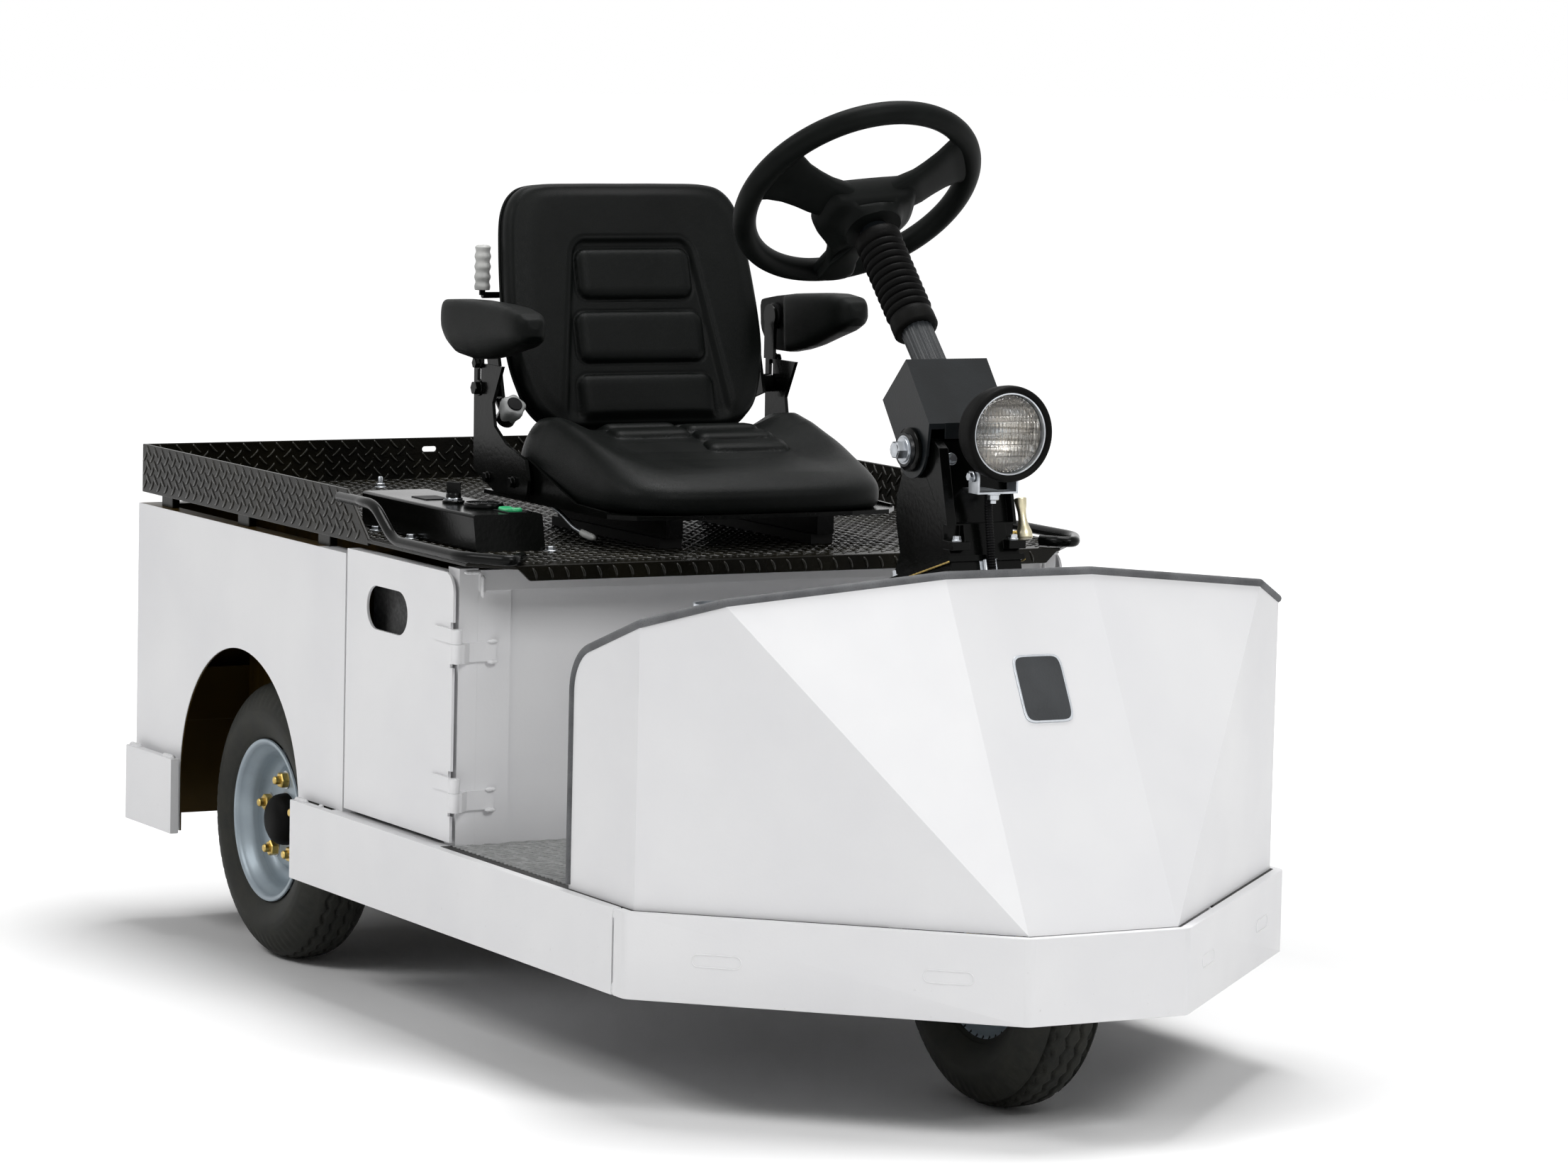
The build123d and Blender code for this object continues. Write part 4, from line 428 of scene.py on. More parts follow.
def white_paint(name, shaded_inside=False):
    """Powder coat: off-white, faint orange peel, dust and scuffs low down.

    A lined sheet is brown undercoat on the inside of the rear body."""
    # The inside of the rear body can be dark amber: the amber tone of its inner paint, darkened as painted
    # shade for the shadow inside the arches.
    f = material(name)
    peel = f.noise(0.004, 2.0)
    cloud = f.noise(0.22)
    scuff = f.noise(0.012, 5.0, 0.7).ramp(0.66, 0.8)
    along = f.node("SeparateXYZ", None, {"Vector": f.node("TexCoord", out="Object")}, out="X")
    low = 1 - along.also("Z").ramp(0.14, 0.30)
    tint = f.blend(cloud.ramp(0.35, 0.7), rgb(233, 233, 234), rgb(227, 227, 229))
    tint = f.blend(low * scuff * 0.5, tint, rgb(150, 147, 142))
    if shaded_inside:
        # Painted shade: inside the rear body the white turns dark amber, the inner paint's tone darkened for
        # the shadow in the arches.
        inside = 1 - f.math("ABSOLUTE", along.also("Y")).above(SHADED_INSIDE_Y)
        inside = inside * along.above(SHADED_INSIDE_REAR) * (1 - along.above(SHADED_INSIDE_FRONT))
        brown = f.blend(cloud.ramp(0.3, 0.7), rgb(46, 34, 6), rgb(70, 53, 12))
        tint = f.blend(inside, tint, brown)
    f.set(Base_Color=tint, Roughness=cloud * 0.08 + scuff * 0.1 + 0.34)
    f.set(Normal=f.bump(peel, 0.0003, 0.3), Specular_IOR_Level=0.3)
    return f.holder


def vinyl(name, roughness, gloss):
    """Embossed black vinyl: cells of a leather grain with soft creases, the lows between the cells darkened
    as painted shade.
    """
    f = material(name)
    cells = f.node("TexVoronoi", {"feature": "DISTANCE_TO_EDGE"},
                   {"Vector": f.place(), "Scale": 620.0})
    cloud = f.noise(0.09)
    grain = cells.ramp(0.0, 0.28) * 0.7 + f.noise(0.011, 4.0, 0.6) * 0.5
    tint = f.blend(cloud.ramp(0.35, 0.75), rgb(7, 9, 8), rgb(14, 16, 15))
    # Painted shade: the lows between the grain's cells are darkened.
    tint = f.blend((1 - cells.ramp(0.0, 0.1)) * 0.35, tint, rgb(4, 5, 5))
    f.set(Base_Color=tint, Roughness=cloud * 0.1 + grain * 0.05 + roughness)
    f.set(Normal=f.bump(grain, 0.00022, 0.6), Specular_IOR_Level=gloss)
    return f.holder


def clear_glass():
    """Clear pressed glass, with a slight cloudiness in its gloss."""
    f = material("clear_pressed_glass")
    cloud = f.noise(0.02)
    f.set(Base_Color=f.blend(cloud, rgb(246, 247, 246), rgb(255, 255, 255)))
    f.set(Roughness=cloud * 0.04 + 0.02, Transmission_Weight=1.0, IOR=1.45)
    return f.holder


def lamp_mirror_painted_streaks():
    """The bright bowl seen through a pressed lens: dark streaks painted on it stand in for the light and
    shade that the lens's flutes and bands throw.
    """
    f = material("lamp_mirror_painted_streaks")
    upright = f.bands("Y", 60.0, Distortion=3.0, Detail=2.0)
    level = f.bands("Z", 21.0, Distortion=1.0)
    # Painted light and shade: dark bands where the flutes and bands would bend the bowl's reflection.
    painted_flute_streaks = upright.ramp(0.05, 0.6) * level.ramp(0.0, 0.2)
    cloud = f.noise(0.02)
    bright = f.blend(cloud.ramp(0.35, 0.65), rgb(158, 152, 142), rgb(222, 222, 222))
    f.set(Base_Color=f.blend(painted_flute_streaks, rgb(96, 90, 80), bright), Metallic=1.0)
    f.set(Roughness=cloud * 0.1 + 0.02, Normal=f.bump(upright, 0.0008, 0.5))
    return f.holder


def red_lens():
    """Deep red moulded lens over a dark lamp."""
    f = material("red_moulded_lens")
    cloud = f.noise(0.02)
    f.set(Base_Color=f.blend(cloud, rgb(96, 4, 4), rgb(126, 8, 6)))
    f.set(Roughness=cloud * 0.1 + 0.12, Normal=f.bump(f.bands("Z", 60.0), 0.0004, 0.4))
    f.set(Coat_Weight=0.15, Coat_Roughness=0.05, Specular_IOR_Level=0.3)
    return f.holder


FINISHES = {
    "white": white_paint("white_powder_coat"),
    # White sheet whose inside carries painted shade in dark amber.
    "shaded_inside": white_paint("white_sheet_painted_shade_inside", True),
    # Head box: the black paint made lighter and bluer all over, painted light standing in for the sky
    # reflected on its top.
    "head": coat("head_box_paint_painted_sheen", (16, 19, 21), (24, 28, 31), 0.26, 0.26, 0.003),
    # Tread bars: lighter than the deck and with pale specks, partly wear on the raised bars and partly
    # painted glints of light off them.
    "deck_bars": coat("worn_tread_paint_painted_glints", (18, 17, 11), (32, 30, 21), 0.14, 0.32, 0.004, (96, 92, 80)),
    "black": coat("black_gloss_paint", (6, 7, 6), (12, 13, 12), 0.12, 0.1),
    "frame": coat("black_frame_paint", (12, 12, 12), (22, 21, 20), 0.45, 0.14, 0.01, (70, 62, 52)),
    "deck": coat("black_deck_paint", (10, 9, 5), (22, 20, 12), 0.2, 0.12, 0.004, (60, 57, 46)),
    "plate": coat("blank_plate_enamel", (34, 37, 40), (46, 49, 52), 0.22, 0.45, 0.003),
    "plastic": satin("black_moulded_plastic", (8, 8, 9), (15, 15, 16), 0.36, 0.07, 0.0009, 0.0002),
    "wheel": satin("wheel_moulding", (10, 12, 11), (18, 20, 19), 0.38, 0.05, 0.0011, 0.00022),
    "rubber": satin("black_rubber", (9, 9, 9), (17, 17, 16), 0.42, 0.05, 0.0014, 0.00025),
    "grey_plastic": satin("dark_grey_sleeve", (22, 25, 28), (32, 36, 39), 0.32, 0.4, 0.0009, 0.0001),
    "grey_knob": satin("grey_knob_moulding", (120, 122, 122), (138, 139, 138), 0.4, 0.5, 0.0008, 0.0001),
    "pale_grip": satin("pale_grey_grip", (176, 177, 175), (192, 193, 190), 0.38, 0.5, 0.0008, 0.0001, 0.02),
    "green": satin("green_rocker_moulding", (22, 150, 92), (36, 170, 108), 0.28, 0.5, 0.0009, 0.0001, 0.02),
    "gauge": satin("gauge_window", (30, 31, 31), (40, 41, 41), 0.12, 0.5, 0.002, 0.00003, 0.03),
    "floor_mesh": satin("grey_floor_mesh", (158, 159, 159), (190, 191, 191), 0.45, 0.4, 0.003, 0.0003, 0.012),
    "pan_floor": satin("grey_floor_plate", (44, 44, 44), (58, 58, 57), 0.6, 0.2, 0.003, 0.0004, 0.02),
    "battery": satin("dark_grey_case", (84, 84, 84), (104, 104, 104), 0.7, 0.2, 0.0035, 0.0008, 0.006),
    "tyre": two_tone("tyre_rubber", (28, 29, 26), (42, 42, 37), 0.62, 0.25, (0.03, 5.0, 0.65),
                     (0.35, 0.7), 0.15, (0.0016,), (0.0004, 0.6)),
    "trim": two_tone("grey_trim_rubber", (84, 85, 87), (108, 109, 111), 0.62, 0.25, (0.04,),
                     (0.3, 0.7), 0.1, (0.0018,), (0.0004, 0.7),
                     worn=((0.0018,), 0.55, 0.7, 0.5, (66, 67, 69), 0.0)),
    # Wheel wells: the amber tone of their inner paint, darkened as painted shade for the shadow inside the
    # arches.
    "arch": two_tone("amber_paint_painted_shade", (56, 42, 8), (82, 62, 14), 0.6, 0.15,
                     (0.03, 4.0, 0.6, (1, 1, 0.25)), (0.3, 0.7), 0.2, (0.004,), (0.0006, 0.6)),
    "rim": two_tone("silver_wheel_enamel", (150, 162, 170), (134, 146, 155), 0.3, 0.5, (0.05, 4.0),
                    (0.3, 0.75), 0.15, (0.0008, 1.0), (0.0001, 0.3),
                    worn=((0.018, 5.0, 0.7), 0.6, 0.78, 0.35, (112, 106, 92), 0.2), Metallic=0.25),
    "zinc": metal("zinc_plate", (196, 200, 205), 0.22),
    "brass": metal("yellow_zinc_plate", (206, 178, 104), 0.28),
    "cast": metal("cast_pale_gold", (214, 206, 176), 0.3),
    "steel": metal("dark_machined_steel", (70, 72, 75), 0.42),
    "vinyl": vinyl("black_seat_vinyl", 0.28, 0.07),
    "arm": vinyl("arm_rest_vinyl", 0.42, 0.07),
    "mirror": lamp_mirror_painted_streaks(),
    "glass": clear_glass(),
    "red": red_lens(),
}

NODE_FINISH = {
    # finish: the CAD nodes that carry it
    "shaded_inside": "frame_rails side_panels rear_panel",
    "white": "side_plates nose_plate cowl wheel_well bulkhead door_posts door_right door_left",
    "black": "steering_head guard_tubes console tower seat_pan back_frame",
    "frame": "rear_axle leaf_springs hitch seat_rails fork",
    "plastic": "console_controls lamp_conduit",
    "rubber": "lamp_housing pedals column_boot",
    "zinc": "lamp_bracket cup_ring",
    "vinyl": "seat_cushion back_cushion",
    "arm": "armrest_right armrest_left",
    "tyre": "front_tyre rear_tyre_right rear_tyre_left",
    "rim": "front_rim rear_rim_right rear_rim_left",
    "pan_floor": "floor_plate", "trim": "cowl_trim", "steel": "drive_motor", "arch": "wheel_wells",
    "deck": "deck", "battery": "battery_pack", "head": "column_head", "mirror": "lamp_reflector",
    "glass": "lamp_lens", "cast": "tilt_handle", "red": "tail_lamps", "wheel": "steering_wheel",
}
EDGES = {
    # width of the rounded edges in millimetres: the CAD nodes that have them
    0.5: "lamp_bracket",
    0.8: "cowl side_panels rear_panel bulkhead back_frame",
    1.0: "wheel_well",
    1.2: "door_right door_left door_posts deck seat_pan",
    1.5: "side_plates nose_plate steering_head hitch pedals frame_rails",
    1.6: "tower",
    2.0: "console",
    2.4: "column_head",
    4.0: "battery_pack",
}


def dress_nodes():
    """Gives each CAD node its finish, and rounds the edges of its sheets and blocks."""
    for finish, names in NODE_FINISH.items():
        for name in names.split():
            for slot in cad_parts[name].material_slots:
                slot.material = FINISHES[finish]
    for width, names in EDGES.items():
        for name in names.split():
            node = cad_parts[name]
            node.modifiers.new("weld", "WELD").merge_threshold = 1e-5
            bevel(node, width, 28, False)


# ---- wheels --------------------------------------------------------------------------------
WHEELS = (
    # tyre, rim, body, along, across, outer side, flange to middle, share of the bead's width
    ("rear_tyre_right", "rear_rim_right", "rear_wheel_right", 0.0, -388.5, -1, 47.5, 0.9),
    ("rear_tyre_left", "rear_rim_left", "rear_wheel_left", 0.0, 388.5, 1, 47.5, 0.9),
    ("front_tyre", "front_rim", "front_wheel", 1340.0, 0.0, -1, 31.0, 0.72),
)
AXLE_UP = 201.0
TYRE_SECTION = (
    # out from the tyre's middle plane, radius
    (0, 200.6), (14, 200.2), (26, 197.5), (36, 191), (45, 180), (52, 165), (55, 150),
    (53.5, 136), (49, 124), (44, 116), (38, 112),
)
TREAD_STEPS = 264
ZIGZAGS = 44
NOTCHES = 66
GROOVES = (-25.0, -8.5, 8.5, 25.0)
GROOVE_DEPTH = 5.0
STUDS = 5
STUD_R = 57.15


def tyre(narrow):
    """Radius as a function of the turn and the place across the section.

    The section is a smooth curve through the table; each groove sinks where the place is
    near a zigzag line, the shoulders carry short notches and the side two raised lines."""
    half = smooth_line(TYRE_SECTION, 5)
    half[:, 0] *= np.interp(half[:, 1], (112, 150), (narrow, 1))
    crown = np.linspace(-33, 33, 47)
    crown = np.column_stack([crown, np.interp(np.abs(crown), half[:, 0], half[:, 1])])
    side = half[half[:, 0] > 34]
    side = side[:1 + int(np.argmin(side[:, 1]))]
    section = np.concatenate([side[::-1] * (-1, 1), crown, side])
    a = np.arange(TREAD_STEPS)[:, None] * TAU / TREAD_STEPS
    across = section[None, :, 0]
    radius = np.broadcast_to(section[None, :, 1], (TREAD_STEPS, len(section))).copy()
    zigzag = 2.6 * (2 * np.abs(2 * ((a * ZIGZAGS / TAU) % 1) - 1) - 1)
    for k, line in enumerate(GROOVES):
        away = np.abs(across - line - zigzag * (-1) ** k)
        radius -= GROOVE_DEPTH * (1 - smooth_step(away, 1.0, 2.4))
    notch = smooth_step(np.cos(a * NOTCHES), 0.55, 0.9)
    radius -= 2.4 * notch * smooth_step(np.abs(across), 36, 40) * smooth_step(radius, 163, 172)
    lines = np.exp(-((radius - 158) / 1.6) ** 2) + np.exp(-((radius - 127) / 1.3) ** 2)
    out = across + np.sign(across) * 0.7 * lines * (np.abs(across) > 34)
    points = np.stack([radius * np.cos(a), out + 0 * a, radius * np.sin(a)], -1)
    return Shape().grid(points, wrap_rows=True)


RIM_LIP = ((115.5, 5.5), (117.6, 3.0), (116.8, 0.8), (114.0, 0.2), (110.5, 1.8), (108.2, 6.0))
RIM_DISH = (
    # radius, depth in from the flange face
    (105.5, 11.5), (100.0, 16.0), (97.0, 24), (95.5, 34), (92.5, 42), (86, 47.5), (80, 48.0),
    (75.5, 45), (72, 39), (69.5, 34), (66, 32), (38, 32), (38, 36), (70, 38), (80, 52), (94, 50),
    (99.5, 40), (101.5, 24),
)
HUB_CAP = ((0, 4.5), (12, 5.0), (24, 7.6), (31, 12), (35.5, 18), (37.2, 25), (37.4, 33), (0, 33))


def rim(width):
    """The dish and its flange turned about the axle, then the far flange and the well."""
    face = lathe([(r, -d) for r, d in ((111, 6.5), *RIM_LIP, *RIM_DISH)], 96, wrap=True)
    far = (*RIM_LIP, (101, 16), (98, 30), (101.5, 31), (104, 17), (111, 6.5))
    face.join(lathe([(r, d - width) for r, d in far], 96, wrap=True))
    return face.join(lathe([
        (101.5, -24), (99, -30), (99, -width + 32), (101.4, -width + 24),
        (98.5, -width + 24), (96, -width + 32), (96, -30), (98, -24)], 96, wrap=True))


def wheels():
    """Tyres, rims, hub caps, drums, and five nuts with their studs on each wheel."""
    for tyre_node, rim_node, body, along, side, out, half, narrow in WHEELS:
        middle = shift(along, side, AXLE_UP)
        tyre(narrow).moved(middle).piece(tyre_node + "_tread", "tyre", body, instead=[tyre_node])
        outer = middle @ shift(0, out * half, 0) @ spin(-90 * out, "X")
        rim(2 * half).moved(outer).piece(
            rim_node + "_pressing", "rim", body, instead=[rim_node], sharp=40)
        cap = lathe([(r, -d) for r, d in HUB_CAP], 48).moved(outer)
        cap.piece(rim_node + "_hub_cap", "rubber", body, sharp=50)
        nuts = Shape()
        plates = Shape()
        for k in range(STUDS):
            a = math.radians(90 + 360 / STUDS * k)
            spot = shift(STUD_R * math.cos(a), STUD_R * math.sin(a), -32)
            nut = hexagon(20.5, 12)
            nut.join(lathe([(0, 8), (6, 8), (6, 19), (4.6, 20.4), (0, 20.4)], 20))
            nuts.join(nut, spot @ Matrix.Rotation(k * 0.7, 4, "Z"))
            plates.join(lathe([(0, -0.5), (13.5, -0.5), (13, 1.4), (0, 1.6)], 28), spot)
        nuts.moved(outer).piece(rim_node + "_nuts", "brass", body, sharp=30)
        plates.moved(outer).piece(rim_node + "_seats", "zinc", body, sharp=30)
        drum = [(0, -34), (66, -34), (70, -40), (70, -2 * half + 6), (0, -2 * half + 6)]
        lathe(drum, 48).moved(outer).piece(rim_node + "_drum", "cast", body, sharp=40)


# ---- seat ----------------------------------------------------------------------------------
BACK = leaned(340.0, 790.0, 16.7)
BACK_HALF = 200.0
BACK_LEN = 358.0
BACK_OUTLINE = (
    # share of the half width, share of the height
    (0.0, 0.0), (0.33, 0.0), (0.66, 0.004), (0.86, 0.075), (0.955, 0.2), (0.995, 0.33),
    (0.995, 0.5), (0.965, 0.72), (0.92, 0.88), (0.82, 0.965), (0.66, 0.995), (0.33, 1.0),
    (0.0, 1.0),
)
BACK_ROWS = (
    # scale of the outline, depth behind the front plane
    (0.965, -3.2), (0.985, -8), (0.996, -14), (1.0, -20), (0.999, -25), (0.99, -27),
    (0.991, -28.5), (1.002, -29.5), (1.004, -31.5), (0.995, -33.5), (0.985, -35), (0.978, -40),
    (0.955, -49), (0.92, -57), (0.87, -63), (0.80, -65.5), (0.55, -65.8), (0.3, -65.9),
    (0.0, -65.9),
)
PILLOWS = (
    # half width, lower edge, upper edge up the back
    (91.0, 186.0, 259.0),
    (101.0, 94.0, 168.0),
    (107.0, -20.0, 77.0),
)


def back_front(side, up):
    """How far the front stands out: a low crown, a set-back panel and three pillows on it."""
    half = 92 + (271 - up) * 0.15
    panel = rounded_box(side * 100 / half, up - 115, 100, 156, 20)
    out = 4.0 * (1 - (side / 210) ** 2) - 7.5 * (1 - smooth_step(panel, -5, 5))
    out -= 1.6 * np.exp(-((panel - 5.5) / 2.0) ** 2)
    for half_u, low, high in PILLOWS:
        away = rounded_box(side, up - (low + high) / 2, half_u, (high - low) / 2, 17)
        out += 10.0 * pillow(away, 17) - 1.2 * np.exp(-((away - 1.5) / 1.8) ** 2)
    return out


def closed_outline(half, mirror, steps=14):
    """A half outline with its mirror image, smoothed into a closed line of plan points."""
    return smooth_line(np.concatenate([half, (half[1:-1] * mirror)[::-1]]), steps, closed=True)


def back_pad():
    """Rows run from the front's middle out to the edge, round the side and to the rear."""
    edge = closed_outline(np.array(BACK_OUTLINE) * (BACK_HALF, BACK_LEN), (-1, 1))
    middle = np.array((0, BACK_LEN / 2))
    rows = []
    for t in np.linspace(0, 0.95, 104):
        flat = middle + t * (edge - middle)
        fall = 3.0 * max(0, (t - 0.8) / 0.15) ** 2
        front = back_front(*flat.T) * (1 - smooth_step(t, 0.86, 0.95)) - fall + 0.6
        rows.append(np.column_stack([front, flat]))
    for scale, depth in BACK_ROWS:
        flat = middle + scale * (edge - middle)
        rows.append(np.column_stack([np.full(len(flat), depth), flat]))
    item = Shape().grid(np.stack(rows)).moved(BACK).piece(
        "back_pad", "vinyl", "backrest", instead=["back_cushion"])
    welt = middle + 1.004 * (edge - middle)
    welt = np.column_stack([np.full(len(welt), -30.5), welt])
    tube(welt, 2.0, 10, (1, 0.02, 0.03), closed=True).moved(BACK).piece(
        "back_pad_welt", "vinyl", "backrest")


CUSHION_OUTLINE = (
    # along, half width
    (306, 0), (306, 90), (312, 160), (334, 203), (375, 219.4), (430, 219.6), (500, 216),
    (570, 213), (625, 206), (662, 186), (684, 146), (693, 90), (695.5, 0),
)
CUSHION_FOOT = ((1.0, 716), (0.998, 709), (0.99, 704), (0.975, 701.2), (0.6, 700.6), (0, 700.6))
SEAT_LINE = ((300, 742), (330, 752), (350, 768), (370, 784), (395, 792), (430, 790), (480, 781),
             (520, 771), (560, 764), (600, 760), (650, 756), (700, 749))
BOLSTER_LINE = ((300, 776), (330, 795), (365, 809), (415, 813), (460, 805), (510, 792), (560, 779),
                (610, 766), (650, 757), (700, 749))
PLEAT = 46.0


def seat_top(x, y):
    """Height of the cushion: the seat line, side bolsters, and pleats in two halves."""
    level = np.interp(x, *np.array(SEAT_LINE).T)
    rise = np.interp(x, *np.array(BOLSTER_LINE).T) - level
    level = level + rise * smooth_step(np.abs(y), 118, 190)
    crease = 8 * np.sin((x - 330) / 52)
    right = y < crease
    run = (x - np.where(right, 322.0, 345.0)) / PLEAT
    count = np.floor(run)
    share = run - count
    reach = 112 + 6 * count
    inside = (count >= 0) & (count < 4 - right) & (np.abs(y) < 150)
    u = np.where(right, y - crease + reach / 2, y - crease - reach / 2)
    away = rounded_box((share - 0.5) * PLEAT, u, PLEAT / 2 - 0.5, reach / 2 - 1, 15)
    fold = (6.5 + 3.5 * share) * pillow(away, 15)
    return level + np.where(inside, fold, 0)


def cushion():
    """Rows run from the middle of the top out to the edge, then down to the pan."""
    edge = closed_outline(np.array(CUSHION_OUTLINE, float), (1, -1))
    middle = np.array((500.0, 0.0))
    away = edge - middle
    front = smooth_step(away[:, 0] / np.hypot(*away.T), 0.1, 0.95)
    start = 0.83 - 0.27 * front
    low = 722 - 2 * front
    rows = []
    shares = (np.linspace(0, 0.9, 96), 1 - 0.1 * (1 - np.linspace(0.1, 1, 16)) ** 2)
    for t in np.concatenate(shares):
        flat = middle + t * away
        fall = np.clip((t - start) / (1 - start), 0, 1)
        share = (1 - fall ** 2.3) ** (1 / 2.3)
        rows.append(at_height(flat, low + (seat_top(*flat.T) - low) * share))
    for scale, height in CUSHION_FOOT:
        rows.append(at_height(middle + scale * away, height))
    item = Shape().grid(np.stack(rows)).piece(
        "seat_pad", "vinyl", "seat", instead=["seat_cushion"])


ARM_UPPER = ((-51, 12), (-49, 21), (-43, 26), (0, 29), (60, 31), (130, 30), (170, 28), (205, 22),
             (218, 14), (223.5, 0))
ARM_LOWER = ((-51, -6), (-49, -13), (-44, -21), (-30, -37), (-8, -49), (38, -53), (80, -50),
             (112, -45), (150, -36), (190, -27), (212, -19), (223.5, -8))
ARM_LIFT = {"right": 0, "left": -5}


def arm_pad(sign, name):
    """Sections along the pad: superellipses between the upper and lower lines.

    The outer face is flat above and slopes in below; near the pivot the inner face is
    set out to leave room for the bracket."""
    s = (1 - np.cos(np.linspace(0, math.pi, 72)))[:, None] / 2
    x = -50.5 + 273.5 * s
    top = np.interp(x, *np.array(ARM_UPPER).T)
    low = np.interp(x, *np.array(ARM_LOWER).T)
    middle = (top + low) / 2
    wide = 26 * (1 - np.abs(2 * s - 1) ** 10) ** 0.5
    c, q = circle(48)
    y = wide * squared(c, 0.42)
    z = middle + (top - low) / 2 * squared(q, 0.62)
    drop = np.clip((middle - 6 - z) / 40, 0, 1)
    y = np.where(y > 0, y - 13 * drop * (wide / 26), y)
    y = np.maximum(y, np.interp(x, (28, 46), (-13.5, -26.5)))
    spot = shift(257, 255 * sign, 939) @ spin(ARM_LIFT[name], "Y")
    if sign < 0:
        spot = spot @ Matrix.Scale(-1, 4, (0, 1, 0))
    item = Shape().grid(np.stack([x + 0 * y, y, z], -1), caps=True).moved(spot).piece(
        f"arm_pad_{name}", "arm", f"armrest_{name}", instead=[f"armrest_{name}"])
    boss = lathe([(8, -1), (17, -1), (19, 1), (19, 5), (17, 6.5), (8, 6.5)], 40, wrap=True)
    boss.moved(spot @ shift(0, -18.5, 0) @ spin(-90, "X"))
    boss.piece(f"arm_boss_{name}", "plastic", f"armrest_{name}", sharp=40)


# ---- steering wheel and column -------------------------------------------------------------
COLUMN = leaned(915.0, 1150.0, 44.0)
WHEEL = COLUMN @ spin(-7, "Z")
GRIP_R = 157.8
SPOKE_TURNS = (67, -67)
HUB_OUTLINE = (
    # up the wheel, to the side
    (45, 0), (44.5, 30), (42, 58), (22, 67), (-14, 69), (-38, 59), (-60, 42), (-86, 26),
    (-116, 21.5), (-150, 21.5),
)
HUB_ROWS = (
    # scale of the outline, height, how far its tail sinks
    (0, -9, 0), (0.3, -9.2, 0), (0.6, -9.8, 0), (0.86, -11, 0), (0.9, -12.4, 0),
    (0.915, -12.6, 0), (0.93, -11.6, 0), (0.975, -13, 0), (0.995, -16, 0), (1.0, -20, 0),
    (0.995, -24, 4), (0.96, -27, 12), (0.9, -29, 17), (0.8, -30, 20),
)
COLLAR_ROWS = (
    # how round, radius, height
    (0.35, 46, -52), (0.7, 42, -57), (1, 40, -60), (1, 38.5, -65.6), (1, 0, -65.6),
)


def grip():
    """The grip ring: its section swells a little beside each spoke."""
    a = np.arange(144)[:, None] * TAU / 144
    c, q = circle(26)
    swell = sum(np.exp(-((np.angle(np.exp(1j * (a - math.radians(d))))) / 0.16) ** 2)
                for d in (*SPOKE_TURNS, 180))
    r = 15.6 + 0.45 * swell
    far = GRIP_R + r * c - 0.6 * swell
    points = np.stack([far * np.cos(a), far * np.sin(a), r * q], -1)
    return Shape().grid(points, wrap_rows=True)


def web(far, half, level, thick, power, steps):
    """Flattened sections across a spoke, one for each place along it."""
    c, q = circle(steps)
    y = half * squared(c, power)
    z = level + thick * squared(q, 0.7)
    return Shape().grid(np.stack([far + 0 * y, y, z], -1), caps=True)


def spoke(angle):
    """A flat web from the hub to the grip, waisted in the middle and flared at both ends."""
    s = np.linspace(0, 1, 30)[:, None]
    half = np.interp(s, (0, 0.3, 0.5, 0.65, 0.8, 0.9, 1), (30, 31, 32.5, 35.5, 43, 51, 62))
    thick = np.interp(s, (0, 0.4, 1), (15, 11, 9))
    level = np.interp(s, (0, 0.35, 0.8, 1), (-27, -22, -5, -2))
    return web(34 + s * (GRIP_R - 34), half, level, thick, 0.55, 36).moved(spin(angle, "Z"))


def hub():
    """Rings of the hub's outline, drawn in toward the collar as they go down."""
    half = np.array(HUB_OUTLINE, float)
    line = smooth_line(np.concatenate([half, (half[1:] * (1, -1))[::-1]]), 6)
    far = np.hypot(*line.T)
    deep = 1 - smooth_step(-line[:, 0], 55, 120)
    rows = [at_height(line * scale, height - sink * deep) for scale, height, sink in HUB_ROWS]
    turn = np.arctan2(line[:, 1], line[:, 0])
    neck = line * np.minimum(1, 60 / far)[:, None] * 0.8
    for share, radius, height in COLLAR_ROWS:
        collar = np.column_stack([np.cos(turn), np.sin(turn)]) * radius
        rows.append(at_height(neck * (1 - share) + collar * share, height))
    return Shape().grid(np.stack(rows))


def steering_wheel():
    """Grip, side spokes and hub; the hub's long tail is the lower spoke."""
    wheel = grip().join(hub())
    for angle in SPOKE_TURNS:
        wheel.join(spoke(angle))
    s = np.linspace(0, 1, 12)[:, None]
    wheel.join(web(-(96 + 62 * s), 21 + 9 * s, -18 + 14 * s, 8.5, 0.5, 28))
    wheel.moved(WHEEL).piece("steering_wheel_moulding", "wheel", "steering_wheel",
                             instead=["steering_wheel"], sharp=50)


